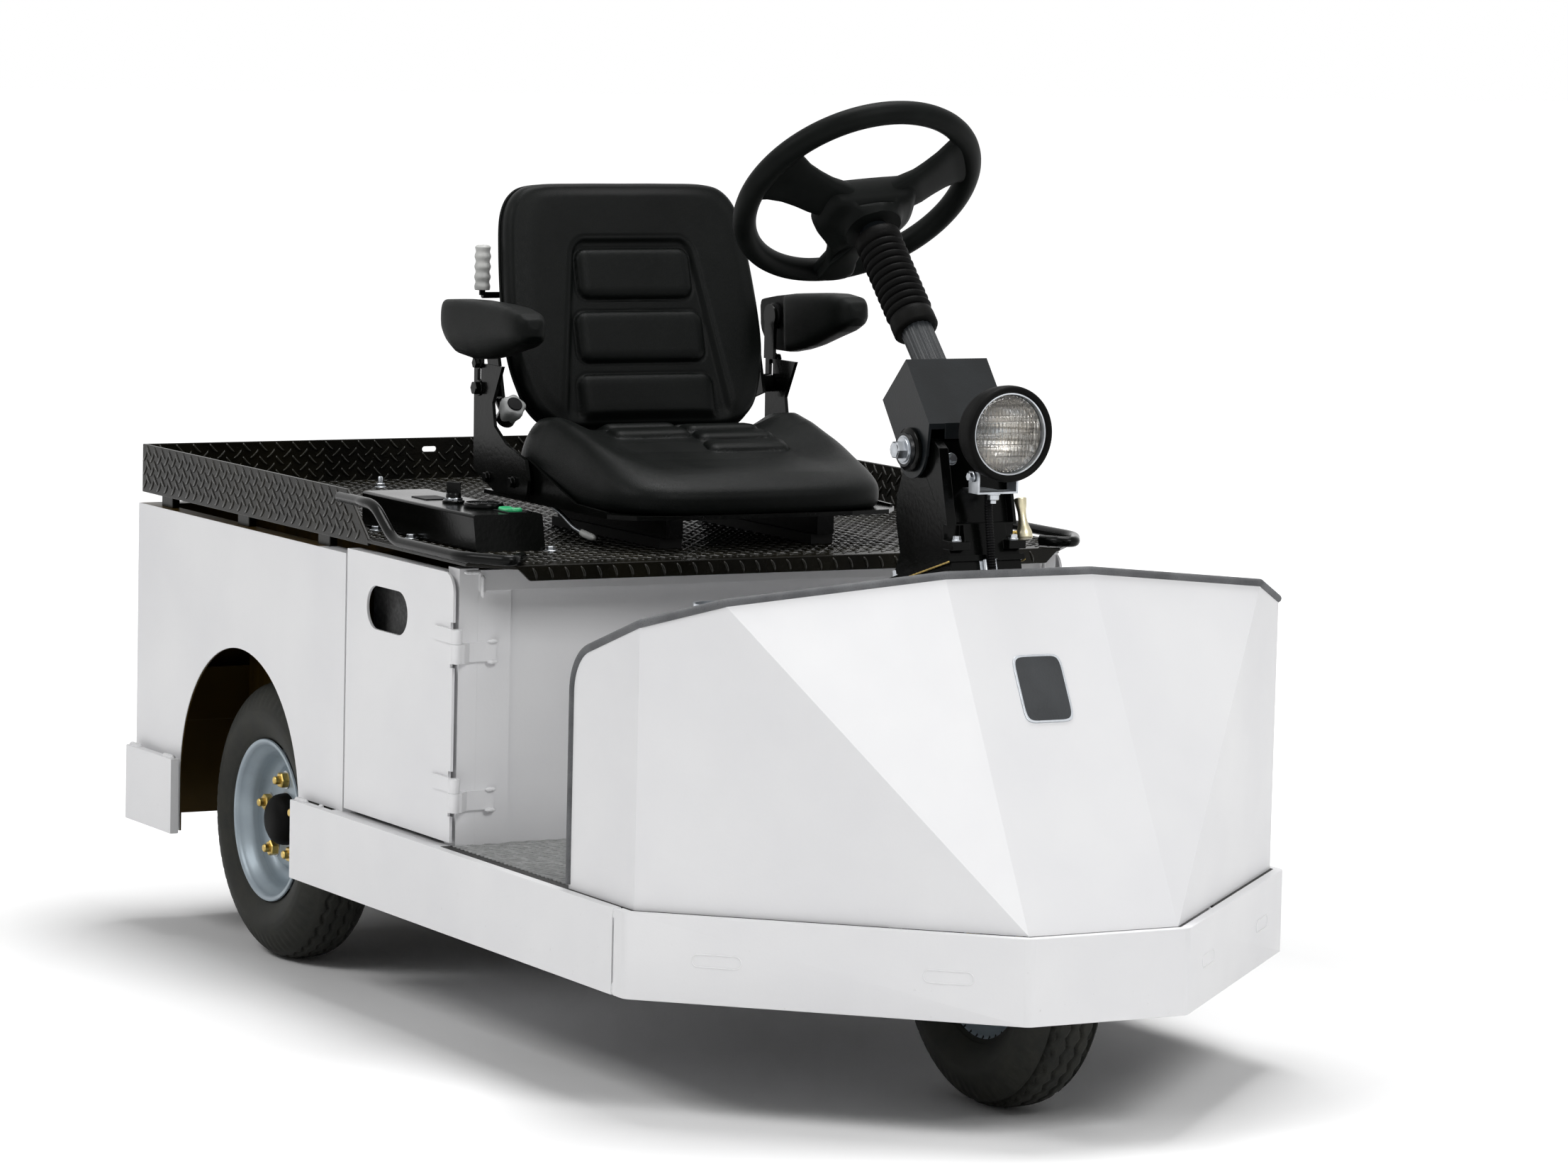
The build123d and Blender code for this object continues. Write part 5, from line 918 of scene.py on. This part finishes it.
def bellows():
    """A column sleeve: collar, ten round ribs with sharp valleys, and a lower band."""
    profile = [(19.4, -80.5), (30.5, -80.5), (31.5, -82), (31.5, -94), (30, -96), (27, -97.5)]
    top = -99.0
    rib = ((25.2, 0), (28.6, 1.6), (30.6, 3.8), (31.2, 5.7), (30.6, 7.6), (28.6, 9.8))
    profile += [(r, top - 11.4 * k - down) for k in range(10) for r, down in rib]
    low = top - 114
    band = ((25.2, 0), (27.5, 1.5), (29.4, 3), (30.2, 9), (30.2, 24), (28.6, 26.4), (23.8, 26.6),
            (19.4, 26.6))
    profile += [(r, low - down) for r, down in band]
    lathe(profile, 56, wrap=True).moved(COLUMN).piece(
        "column_bellows", "rubber", "column", instead=["column_boot"], sharp=60)
    c, q = circle(216)
    r = 20.4 + 0.8 * smooth_step(np.cos(np.arange(216) * TAU / 216 * 18), -0.2, 0.5)
    flutes = np.stack([c[0] * r, q[0] * r], -1)
    rows = [at_height(f * flutes, low - down)
            for f, down in ((0.85, 26.8), (1, 27), (1, 92), (0.85, 92.4))]
    Shape().grid(np.stack(rows), caps=True).moved(COLUMN).piece(
        "column_fluted_sleeve", "grey_plastic", "column", sharp=50)


def head_apron():
    """The head box's folded front lip and the plate that closes its rear, over the tower."""
    slab(1221.5, 1224, -36.5, 45.5, 849, 870).piece("head_front_lip", "head", "column", edge=0.5)
    line = ((1103.5, 889.4), (1138.6, 842.0), (1142.4, 826), (1144.4, 826.4), (1140.6, 842.8),
            (1105.3, 890.6))
    sheet = np.array([[(x, y, z) for x, z in line] for y in (-56.3, 56.3)])
    Shape().grid(sheet, caps=True).piece("head_rear_plate", "black", "column", sharp=30)


# ---- lamp ----------------------------------------------------------------------------------
LAMP = shift(1299, 0, 863) @ spin(90, "Y")


def lamp():
    """Rubber housing, bright bowl, bulb, fluted glass and its retaining ring."""
    shell = smooth_line([(0, -30.8), (20, -30.5), (38, -26), (51, -16), (58, -3), (60.5, 8),
                         (61.8, 18)], 5)
    front = [(61.8, 24), (61.2, 28), (59.4, 30.4), (57, 30.8), (54.4, 30), (52.6, 27.6), (52, 22),
             (51.6, 17), (48, 16), (40, -2), (22, -18), (0, -22)]
    lathe(np.concatenate([shell, front]), 96).moved(LAMP).piece(
        "lamp_shell", "rubber", instead=["lamp_housing"], sharp=55)
    bowl = smooth_line([(0, -17), (18, -14), (32, -6), (42, 5), (49.5, 17.5)], 6)
    inner = bowl[::-1] + (-1.2, 1.6)
    inner[-1, 0] = 0
    lathe(np.concatenate([bowl, inner]), 96).moved(LAMP).piece(
        "lamp_bowl", "mirror", instead=["lamp_reflector"])
    bulb = lathe([(0, -16), (7, -15), (7, -4), (5, 2), (0, 4)], 24)
    bulb.moved(LAMP).piece("lamp_bulb", "zinc")
    lamp_glass().moved(LAMP).piece("lamp_glass", "glass", instead=["lamp_lens"], sharp=50)
    retainer = [(50.2, 16.5), (52, 16.5), (53.4, 19), (53.4, 25), (52.4, 26.6), (50.8, 26.4),
                (50.2, 24)]
    lathe(retainer, 96, wrap=True).moved(LAMP).piece("lamp_ring", "zinc", sharp=50)


def lamp_glass():
    """A dome that falls with the square of the radius, under flutes and crossing bands.

    Flutes are arches along one direction; bands are low steps across the other."""
    r = np.concatenate([np.linspace(0, 49, 60), [50.2, 50.4]])[:, None]
    c, q = circle(192)
    u, v = r * c, r * q
    dome = 25.5 - 6 * (r / 50) ** 2
    flute = 1.15 * np.abs(np.sin(v * math.pi / 5.2)) * smooth_step(48 - r, 0, 3)
    step = (u + 60) % 15.0
    band = 0.99 * (smooth_step(step, 0, 1.2) - smooth_step(step, 12.5, 15))
    band = band * (np.abs(u - 4) < 26) * (np.abs(v) < 44)
    top = np.stack([u, v, dome + (flute + band) * (r < 48.9)], -1)
    under = np.stack([u, v, dome - 2.4 + 0 * v], -1)[::-1]
    return Shape().grid(np.concatenate([top, under]))


def lamp_mounting():
    """The yoke's bolts, and the corrugated cable sleeve: a rounded wave along its line."""
    yoke = Shape()
    for y in (-31, 31):
        yoke.join(hexagon(10, 5, 7), facing((1287, y, 806), (0, y, 0)))
    yoke.join(hexagon(13, 7, 9), facing((1287, 0, 784), (0, 0, -1)))
    yoke.join(lathe([(0, 0), (4, 0), (4, 6), (0, 6)], 16), facing((1287, 0, 777), (0, 0, -1)))
    yoke.piece("lamp_yoke_bolts", "zinc", sharp=30)
    line = smooth_line([(1276.2, 0, 784), (1276.4, 0, 764), (1280.2, 0, 738), (1285.8, 0, 708),
                        (1290.2, 0, 676)], 24)
    far = np.concatenate([[0], np.cumsum(np.linalg.norm(np.diff(line, axis=0), axis=1))])
    fine = np.linspace(0, far[-1], 210)
    path = np.column_stack([np.interp(fine, far, line[:, k]) for k in range(3)])
    r = 4.9 + 0.75 * smooth_step(np.cos(fine * TAU / 3.4), -0.3, 0.5)
    tube(path, r, 14, (0, 1, 0)).piece("lamp_cable_sleeve", "plastic", instead=["lamp_conduit"])


# ---- tread plate, floor mesh and rails -----------------------------------------------------
BAR_LENGTH = 23.0
BAR_WIDTH = 5.6
BAR_HEIGHT = 1.5
BAR_PITCH = (27.0, 20.5)
DECK_TOP = 649.0
FLOOR_TOP = 264.0


def bars(places, turns, along, across, length=BAR_LENGTH):
    """Raised bars: each a low lozenge, slightly bowed, closed underneath.

    A bar is a grid of its length by its width; its height falls to nothing at both ends.
    along and across give the plane that the bars lie on."""
    u = np.linspace(-1, 1, 6)[:, None]
    v = np.array((-1, -0.42, 0.42, 1))[None]
    h = np.array((-0.12, 1, 1, -0.12))[None]
    body = np.sqrt(np.maximum(0, 1 - u ** 2))
    x = (u * length / 2 + 0 * v).reshape(-1)
    y = (v * body * BAR_WIDTH / 2 + 2.2 * u ** 2).reshape(-1)
    z = (h * body ** 0.6 * BAR_HEIGHT).reshape(-1)
    c, s = np.cos(turns)[:, None], np.sin(turns)[:, None]
    points = np.stack([c * x - s * y, s * x + c * y, z + 0 * c], -1)
    plane = np.array([along, across, np.cross(along, across)], float)
    return Shape().copies(places[:, None] + points @ plane, quads(6, 4, wrap_cols=True))


def tread_grid(a0, a1, b0, b1):
    """Staggered rows of bar centres (a, b), each turned the other way from its neighbour."""
    pitch_a, pitch_b = BAR_PITCH
    a = np.arange(a0, a1, pitch_a / 2)
    b = np.arange(b0, b1, pitch_b)
    i, j = np.meshgrid(np.arange(len(a)), np.arange(len(b)), indexing="ij")
    spots = np.stack([a[i] + 0 * j, b[j] + (i % 2) * pitch_b / 2], -1).reshape(-1, 2)
    turns = np.where((i % 2).reshape(-1) == 0, 1, -1) * math.radians(45)
    keep = spots[:, 1] < b1
    return spots[keep], turns[keep]


def tread_plate():
    """Bars over the deck's floor, both faces of its walls, and its front lip."""
    spots, turns = tread_grid(-380, 752, -452, 456)
    reach = 421 + np.clip(767 - spots[:, 0], 0, 52) / 52 * 48
    keep = np.abs(spots[:, 1]) < reach - 14
    plate = bars(at_height(spots[keep], DECK_TOP), turns[keep], (1, 0, 0), (0, 1, 0))
    spots, turns = tread_grid(-384, 396, 651, 704)
    keep = spots[:, 0] < 333 + (712 - spots[:, 1]) - 14
    for y, side in ((-469, 1), (-464, -1), (464, 1), (469, -1)):
        places = np.insert(spots[keep], 1, y, axis=1)
        plate.join(bars(places, turns[keep] * side, (side, 0, 0), (0, 0, 1)))
    spots, turns = tread_grid(-452, 458, 651, 704)
    keep = (np.abs(spots[:, 0]) > 22) | (spots[:, 1] < 682)
    for x, side in ((-389, 1), (-394, -1)):
        places = np.insert(spots[keep], 0, x, axis=1)
        plate.join(bars(places, turns[keep] * side, (0, side, 0), (0, 0, 1)))
    lip = np.array([(767, y, 638.5) for y in range(-392, 396, 24)])
    plate.join(bars(lip, np.full(len(lip), math.radians(112)), (0, 1, 0), (0, 0, 1), 20.0))
    plate.piece("deck_tread_bars", "deck_bars")


def floor_mesh():
    """Raised diamond mesh on the footwell floor: zigzag strands that meet in points."""
    y = np.arange(-468, 469, 13.0)
    steps = np.arange(len(y))
    across, up = np.array(((-1.5, 0.0), (-0.7, 1.7), (0.9, 1.9), (1.5, 0.0))).T
    strands = []
    for k, x in enumerate(np.arange(684, 1098, 6.0)):
        zigzag = (x + 3.0 * np.where((steps + k) % 2 == 0, 1, -1))[:, None]
        strand = np.stack([zigzag + across, y[:, None] + 0 * across,
                           FLOOR_TOP + up + 0 * zigzag], -1)
        strands.append(strand.reshape(-1, 3))
    mesh = Shape().copies(np.array(strands), quads(len(y), 4, wrap_cols=True))
    mesh.piece("floor_diamond_mesh", "floor_mesh", soft=False)


RAIL_LINE = (
    (327, 476.5, 701), (440, 476.5, 701), (506, 476.5, 657.5), (715, 476.5, 657.5),
    (784.5, 434, 657.5), (745, 401, 657.5),
)
RAIL_BEND = 22.5


def guard_rails():
    """Thin bent bars: straight runs joined by a smooth curve at each corner."""
    points = np.array(RAIL_LINE, float)
    path = [points[0]]
    t = np.linspace(0, 1, 14)[:, None]
    for before, corner, after in zip(points, points[1:], points[2:]):
        start = corner + (before - corner) / np.linalg.norm(before - corner) * RAIL_BEND
        end = corner + (after - corner) / np.linalg.norm(after - corner) * RAIL_BEND
        path += list((1 - t) ** 2 * start + 2 * t * (1 - t) * corner + t ** 2 * end)
    path.append(points[-1])
    rail = tube(np.array(path), 7.4, 24, (0.3, 0.2, 1))
    rail.mirrored().piece("guard_rail_bars", "black", instead=["guard_tubes"])


# ---- console, handles and fastenings -------------------------------------------------------
CONSOLE_TOP = 699.0


def console_parts():
    """Blank plate, key switch with its key, round gauge, and a green rocker."""
    top = CONSOLE_TOP
    slab(336, 384, -372, -334, top - 1, top + 1.4).piece("console_blank_plate", "plastic", edge=0.8)
    at_key = shift(430, -352, top)
    base = lathe([(0, -0.5), (15.5, -0.5), (15.5, 3), (14, 4.4), (11, 4.6), (10.4, 12), (9.4, 14),
                  (0, 14)], 40)
    base.moved(at_key).piece("key_switch", "black", instead=["console_controls"], sharp=35)
    nut = lathe([(9.6, 4.5), (12.6, 4.5), (12.6, 7), (11.2, 7.8), (9.6, 7.8)], 6, wrap=True)
    nut.moved(at_key).piece("key_switch_nut", "zinc", sharp=20)
    key = slab(-11, 11, -1.3, 1.3, 13, 29).moved(at_key @ spin(35, "Z"))
    key.piece("ignition_key", "black", edge=1.1)
    at_gauge = shift(500, -340, top)
    bezel = lathe([(0, -0.5), (27, -0.5), (27.5, 1), (27.5, 5), (26.4, 7), (24.2, 7.6),
                   (23.2, 6.8), (23, 4.4), (0, 4.4)], 56)
    bezel.moved(at_gauge).piece("gauge_bezel", "black", sharp=40)
    window = lathe([(0, 4.2), (22.8, 4.2), (22.8, 5.0), (0, 6.0)], 56)
    window.moved(at_gauge).piece("gauge_glass", "gauge", sharp=40)
    marks = Shape()
    for k in range(11):
        marks.join(slab(16.5, 20.5, -0.45, 0.45, 5.1, 5.35), at_gauge @ spin(24 * k - 30, "Z"))
    marks.piece("gauge_marks", "zinc", soft=False)
    s = np.linspace(-1, 1, 21)[:, None]
    c, q = circle(24)
    y = -330 + 11 * squared(c, 0.4) * (1 - s ** 8) ** 0.5
    lift = 5.5 + 3.2 * s ** 2 + 0.8 * s
    z = top - 0.6 + lift * np.maximum(0, squared(q, 0.4)) * (1 - s ** 10) ** 0.4
    Shape().grid(np.stack([562 + 21 * s + 0 * c, y, z], -1), caps=True).piece(
        "green_rocker", "green")
    slab(537, 587, -344, -316, top - 0.4, top + 1.6).piece("rocker_frame", "plastic", edge=0.7)


STAR_ROWS = (
    # radius, height, share of the lobes
    (0, -1, 0), (9, -1, 0), (11, 2, 0), (13.6, 10, 0.3), (15.5, 20, 0.8), (17.2, 27, 1),
    (17.6, 33, 1), (16.4, 37, 1), (14, 38.6, 0.6), (0, 38.8, 0),
)


def hand_parts():
    """The backrest's star knob, the upright grip, the tilt handle and the slide lever."""
    ahead = Vector((0.783, 0, 0.622)).normalized()
    root = facing(Vector((327, -211, 823)) - ahead * 36, ahead)
    c, q = circle(90)
    lobes = np.cos(5 * np.arange(90) * TAU / 90)
    rows = [at_height(np.stack([c[0], q[0]], -1) * (r * (1 + 0.085 * share * lobes))[:, None], h)
            for r, h, share in STAR_ROWS]
    Shape().grid(np.stack(rows)).moved(root).piece("recline_star_knob", "grey_knob", "backrest")
    cap = lathe([(0, 38), (11, 38), (11, 39.6), (10, 40.6), (0, 41)], 40)
    cap.moved(root).piece("recline_knob_cap", "plastic", "backrest", sharp=40)
    h = np.linspace(0, 62, 60)
    r = 10.9 + 0.9 * np.cos((h - 4) * TAU / 14.5) * np.interp(h, (0, 8, 54, 62), (0, 1, 1, 0.3))
    ribs = np.column_stack([r, h])[1:-1]
    profile = np.concatenate([[(0, 0), (10.4, 0)], ribs, [(10.8, 61.4), (8.5, 63.4), (0, 64.2)]])
    lathe(profile, 40).moved(shift(208, -206, 977)).piece("upright_grip", "pale_grip", "backrest")
    waist = smooth_line([(10.6, -7.6), (10.2, 0), (7.2, 9), (5.6, 18), (5.7, 27), (7.4, 36),
                         (8.2, 43.6)], 5)
    profile = np.concatenate([[(0, -8.6), (9.6, -8.6)], waist, [(7.4, 44.6), (0, 44.8)]])
    lathe(profile, 40).moved(shift(1256.6, 66, 729) @ spin(-15.6, "Y")).piece(
        "tilt_handle_grip", "cast", instead=["tilt_handle"], sharp=60)
    tube([(1244.6, 50, 725), (1244.6, 58, 725), (1244.6, 68, 725)], 5.2, 20).piece(
        "tilt_handle_shaft", "brass", sharp=50)
    rod = smooth_line([(400, -190, 690), (450, -196, 682), (500, -201, 668), (540, -203, 662)], 6)
    tube(rod, 3.0, 12).piece("slide_lever_rod", "zinc", "seat")
    tip = smooth_line([(528, -202.5, 663.5), (546, -203.5, 661.5), (572, -205, 660)], 8)
    tube(tip, [4.8] * 4 + [5.2] * 9 + [5.0, 4.4, 3.6, 2.2], 18).piece(
        "slide_lever_tip", "pale_grip", "seat")


BOLTS = (
    # name, body, finish, place, direction, across flats, height, washer
    # A name with {} is a bolt on each side: the place and direction are the left one's.
    ("pivot_bolt_{}", "column", "zinc", (1180, 72.6, 832), (0, 1, 0), 21, 12, 16.5),
    ("tower_bolt_{}", "chassis", "zinc", (1270, 42, 722), (0, 0, 1), 9, 4.5, 6.5),
    ("tower_bolt_rear_{}", "chassis", "zinc", (1131, 47, 662), (-0.282, 0, 0.959), 13, 6, 8.5),
    ("tower_panel_bolt", "chassis", "zinc", (1226.0, -28, 823), (1, 0, 0.28), 10, 5, 8),
    ("recline_bolt_{}", "seat", "black", (266, 236, 843), (0, 1, 0), 17, 8, 11),
    ("bracket_bolt_{}", "seat", "black", (265, 236, 878), (0, 1, 0), 13, 7, 9),
    ("pan_bolt_rear_{}", "seat", "black", (300, 236, 720), (0, 1, 0), 13, 5, 8),
    ("pan_bolt_front_{}", "seat", "black", (380, 236, 720), (0, 1, 0), 13, 5, 8),
    ("console_bolt_front", "chassis", "zinc", (612, -292, 649), (0, 0, 1), 11, 5, 9),
    ("console_bolt_side", "chassis", "zinc", (300, -408, 649), (0, 0, 1), 11, 5, 9),
    ("console_bolt_rear", "chassis", "zinc", (414, -408, 649), (0, 0, 1), 11, 5, 9),
)


def fastenings():
    """Hexagon bolts from the table, the washer stacks, the deck stud and the cable clip."""
    for name, body, finish, place, direction, *sizes in BOLTS:
        for sign, side in SIDES if "{}" in name else ((1, ""),):
            flip = np.array((1, sign, 1))
            hexagon(*sizes).moved(facing(flip * place, flip * direction)).piece(
                name.format(side), finish, body, sharp=25)
    for sign, side in SIDES:
        pivot = facing((1180, 60.6 * sign, 832), (0, sign, 0))
        stack = lathe([(0, 0), (27, 0), (28.5, 1.5), (28.5, 5), (26, 7), (21, 7.4), (21, 8.4),
                       (0, 8.4)], 56)
        stack.moved(pivot).piece(f"pivot_ring_{side}", "black", "column", sharp=40)
        washers = lathe([(0, 8.4), (18.6, 8.4), (19, 9), (19, 10.2), (18.2, 10.6), (18.6, 11),
                         (18.6, 12), (0, 12.2)], 48)
        washers.moved(pivot).piece(f"pivot_washers_{side}", "zinc", "column", sharp=30)
    stud = hexagon(12, 5, 9).join(lathe([(0, 6), (4, 6), (4, 15), (3, 17), (0, 17.5)], 24))
    stud.moved(shift(-277, -134, DECK_TOP)).piece("deck_stud", "zinc", sharp=30)
    raked = leaned(1340.0, AXLE_UP, 16.4)
    clip = slab(76, 78.4, -11, 14, 474, 499).join(slab(78.2, 86, -7, -5, 478, 494))
    clip.join(slab(78.2, 86, 8, 10, 478, 494)).join(slab(84, 86, -7, 10, 478, 494))
    clip.moved(raked).piece("cable_clip", "zinc", edge=0.6)
    seam = Shape()
    steps = np.arange(60)
    for y in (-56.4, 56.4):
        line = [(x, y, 493.2) for x in np.linspace(-79, 79, 60)]
        seam.join(tube(line, 1.3 + 0.25 * np.sin(steps * 1.9), 10))
    seam.moved(raked).piece("head_plate_seam", "brass")


WELDS = (
    # start, end, radius
    ((-380, -488, 264.5), (-344, -488, 264.5), 4.2),
    ((-254, -488, 264.5), (-218, -488, 264.5), 4.2),
    ((218, -487, 264.5), (256, -487, 264.5), 4.0),
    ((292, -484, 264.5), (300, -484, 264.5), 3.4),
    ((1209.5, -491, 250), (1209.5, -491, 263), 3.2),
    ((1209.5, -491, 154), (1209.5, -491, 170), 3.2),
    *(((691.5, -408, z), (691.5, -423, z), 3.0) for z in (540, 512, 340, 312)),
    ((697, -462, 634), (697, -438, 634), 3.0),
    ((700, -436, 600), (700, -436, 630), 2.8),
)


def welds():
    """Fillet beads: a tube whose radius ripples as the passes do."""
    beads = Shape()
    for start, end, radius in WELDS:
        start, end = np.array(start, float), np.array(end, float)
        count = max(8, int(np.linalg.norm(end - start) / 1.4))
        s = np.linspace(0, 1, count)
        ends = np.minimum(1, np.minimum(s, 1 - s) * count / 3.5 + 0.35)
        ripple = radius * ends * (1 + 0.1 * np.sin(np.arange(count) * 1.5))
        upright = abs(end[2] - start[2]) > 5
        beads.join(tube(start + s[:, None] * (end - start), ripple, 12,
                        (1, 0, 0) if upright else (0, 0, 1)))
    beads.mirrored().piece("weld_beads", "white")


SLOT_PLACES = ((1324.3, -406.7, 208.5), (1530.4, -190.9, 209.0))
PLATE_PLACE = (1430.0, -5.0, 550.0)


def nose_details():
    """Plugged slots outlined on the bumper's slanted faces, and a blank plate on the nose."""
    slots = Shape()
    along = np.array(Vector((361, 378, 0)).normalized())
    out = np.array(Vector((378, -361, 0)).normalized())
    c, s = circle(60)
    u = 24 * np.sign(c) * np.minimum(1, np.abs(c) * 8) + 8 * c
    for place in SLOT_PLACES:
        path = np.array(place) + u.T * along + 8 * s.T * (0, 0, 1)
        slots.join(tube(path + 0.1 * out, 0.8, 8, (1, 0.02, 0.03), closed=True))
    slots.mirrored().piece("bumper_slot_outlines", "white")
    slope = Vector((-230, 0, 424.5)).normalized()
    face = Vector((424.5, 0, 230)).normalized()
    turn = Matrix((Vector((0, 1, 0)), slope, face)).transposed().to_4x4()
    c, s = circle(64)
    outline = np.column_stack([squared(c[0], 0.28), squared(s[0], 0.28)])
    for half, low, high, name, finish, edge in (
            ((36, 46), -0.3, 1.6, "blank_plate_rim", "zinc", 0.5),
            ((33.2, 43.2), 1.0, 2.0, "blank_plate_face", "plate", 0.4)):
        sheet = np.stack([at_height(outline * half, z) for z in (low, high)])
        Shape().grid(sheet, caps=True).moved(shift(*PLATE_PLACE) @ turn).piece(
            name, finish, edge=edge)


def tail_lights():
    """Red tail lamps: a black ring round a domed lens of fine rings."""
    r = np.linspace(0, 37, 48)
    h = 21 - 9 * (r / 37) ** 2 + 0.35 * np.sin(r * TAU / 4.4)
    dome = np.concatenate([np.column_stack([r, h]), [(37, 8.5), (0, 8.5)]])
    for sign, side in SIDES:
        turn = facing((-394, 380 * sign, 540), (-1, 0, 0))
        ring = lathe([(0, 0), (42.5, 0), (42.5, 9), (40, 12), (37, 12), (37, 8), (0, 8)])
        ring.moved(turn).piece(f"tail_lamp_ring_{side}", "rubber",
                               instead=["tail_lamps"] if sign < 0 else (), sharp=40)
        lathe(dome).moved(turn).piece(f"tail_lamp_lens_{side}", "red", sharp=60)


# ---- floor, light and camera ---------------------------------------------------------------
FLOOR_NEAR = 1.0
FLOOR_FAR = 3.2
FLOOR_HALF = 40
WORLD_LIGHT = 0.22


def seen(f):
    """1 for what the eye sees straight, in a mirror or through glass; 0 for light."""
    path = f.node("LightPath")
    total = path
    for name in ("Is Glossy Ray", "Is Transmission Ray"):
        total = f.math("MAXIMUM", total, path.also(name))
    return total


def floor():
    """A pale floor that keeps the shadow; away from the machine it glows white to the eye."""
    f = material("pale_floor")
    far = f.node("VectorMath", {"operation": "LENGTH"},
                 {0: f.node("TexCoord", out="Object")}, out="Value")
    glow = far.ramp(FLOOR_NEAR, FLOOR_FAR) * seen(f) * 0.9
    tint = f.blend(f.noise(0.4, 2.0), (0.93, 0.93, 0.93, 1), (0.95, 0.95, 0.95, 1))
    f.set(Base_Color=tint, Roughness=0.9, Specular_IOR_Level=0.0, Emission_Strength=1.0)
    f.set(Emission_Color=f.blend(glow, (0, 0, 0, 1), (1, 1, 1, 1)))
    mesh = bpy.data.meshes.new("studio_floor")
    line = np.linspace(-FLOOR_HALF, FLOOR_HALF, 3)
    x, y = np.meshgrid(line, line, indexing="ij")
    points = np.stack([x, y, np.full_like(x, -0.0005)], -1).reshape(-1, 3)
    mesh.from_pydata(points.tolist(), [], quads(3, 3).tolist())
    mesh.materials.append(f.holder)
    item = bpy.data.objects.new("studio_floor", mesh)
    bpy.context.scene.collection.objects.link(item)


def surroundings():
    """A white studio: seen as white by the eye and through glass, softer as light."""
    world = bpy.data.worlds.new("studio")
    bpy.context.scene.world = world
    f = Finish(world, "Background")
    level = f.node("MapRange", None, {0: seen(f), 3: WORLD_LIGHT, 4: 1.0})
    f.set(Strength=level, Color=(1, 1, 1, 1))


LAMPS = (
    # name, place, size, power
    ("overhead", (-0.4, 0.6, 5.0), (2.4, 2.4), 165),
    ("right_high", (0.0, -4.0, 4.0), (2.6, 1.8), 85),
    ("front_high", (4.6, 0.4, 4.0), (2.2, 2.2), 122),
)
AIM = Vector((0, 0, 0.55))


def lamps():
    """Large soft lamps, each aimed at the middle of the machine."""
    for name, place, size, power in LAMPS:
        light = bpy.data.lights.new(name, "AREA")
        light.shape = "RECTANGLE"
        light.size, light.size_y = size
        light.energy = power
        item = bpy.data.objects.new(name, light)
        item.location = place
        item.rotation_euler = (AIM - Vector(place)).to_track_quat("-Z", "Y").to_euler()
        bpy.context.scene.collection.objects.link(item)


EYE = Vector((AXLE_X + 7.8482, -3.9182, 1.4966))
EYE_YAW = 151.1387
EYE_PITCH = -6.2816
EYE_ROLL = 1.3423
IMAGE_WIDTH = 2212
FOCAL_PIXELS = 8464.4
SENSOR = 36.0


def camera():
    """The eye: looks along its yaw and pitch, then leans by its roll."""
    yaw, pitch, roll = (math.radians(v) for v in (EYE_YAW, EYE_PITCH, EYE_ROLL))
    ahead = Vector((
        math.cos(yaw) * math.cos(pitch), math.sin(yaw) * math.cos(pitch), math.sin(pitch)))
    level = ahead.cross(Vector((0, 0, 1))).normalized()
    upright = level.cross(ahead)
    right = level * math.cos(roll) + upright * math.sin(roll)
    up = upright * math.cos(roll) - level * math.sin(roll)
    data = bpy.data.cameras.new("eye")
    data.sensor_width = SENSOR
    data.lens = FOCAL_PIXELS / IMAGE_WIDTH * SENSOR
    data.clip_end = 200
    item = bpy.data.objects.new("eye", data)
    item.matrix_world = Matrix.Translation(EYE) @ Matrix((right, up, -ahead)).transposed().to_4x4()
    bpy.context.scene.collection.objects.link(item)
    bpy.context.scene.camera = item


camera()
floor()
surroundings()
lamps()
bpy.context.scene.view_settings.view_transform = "Standard"

dress_nodes()
wheels()
back_pad()
cushion()
for sign, name in SIDES:
    arm_pad(sign, name)
steering_wheel()
bellows()
lamp()
lamp_mounting()
tread_plate()
floor_mesh()
guard_rails()
console_parts()
hand_parts()
head_apron()
fastenings()
welds()
nose_details()
tail_lights()
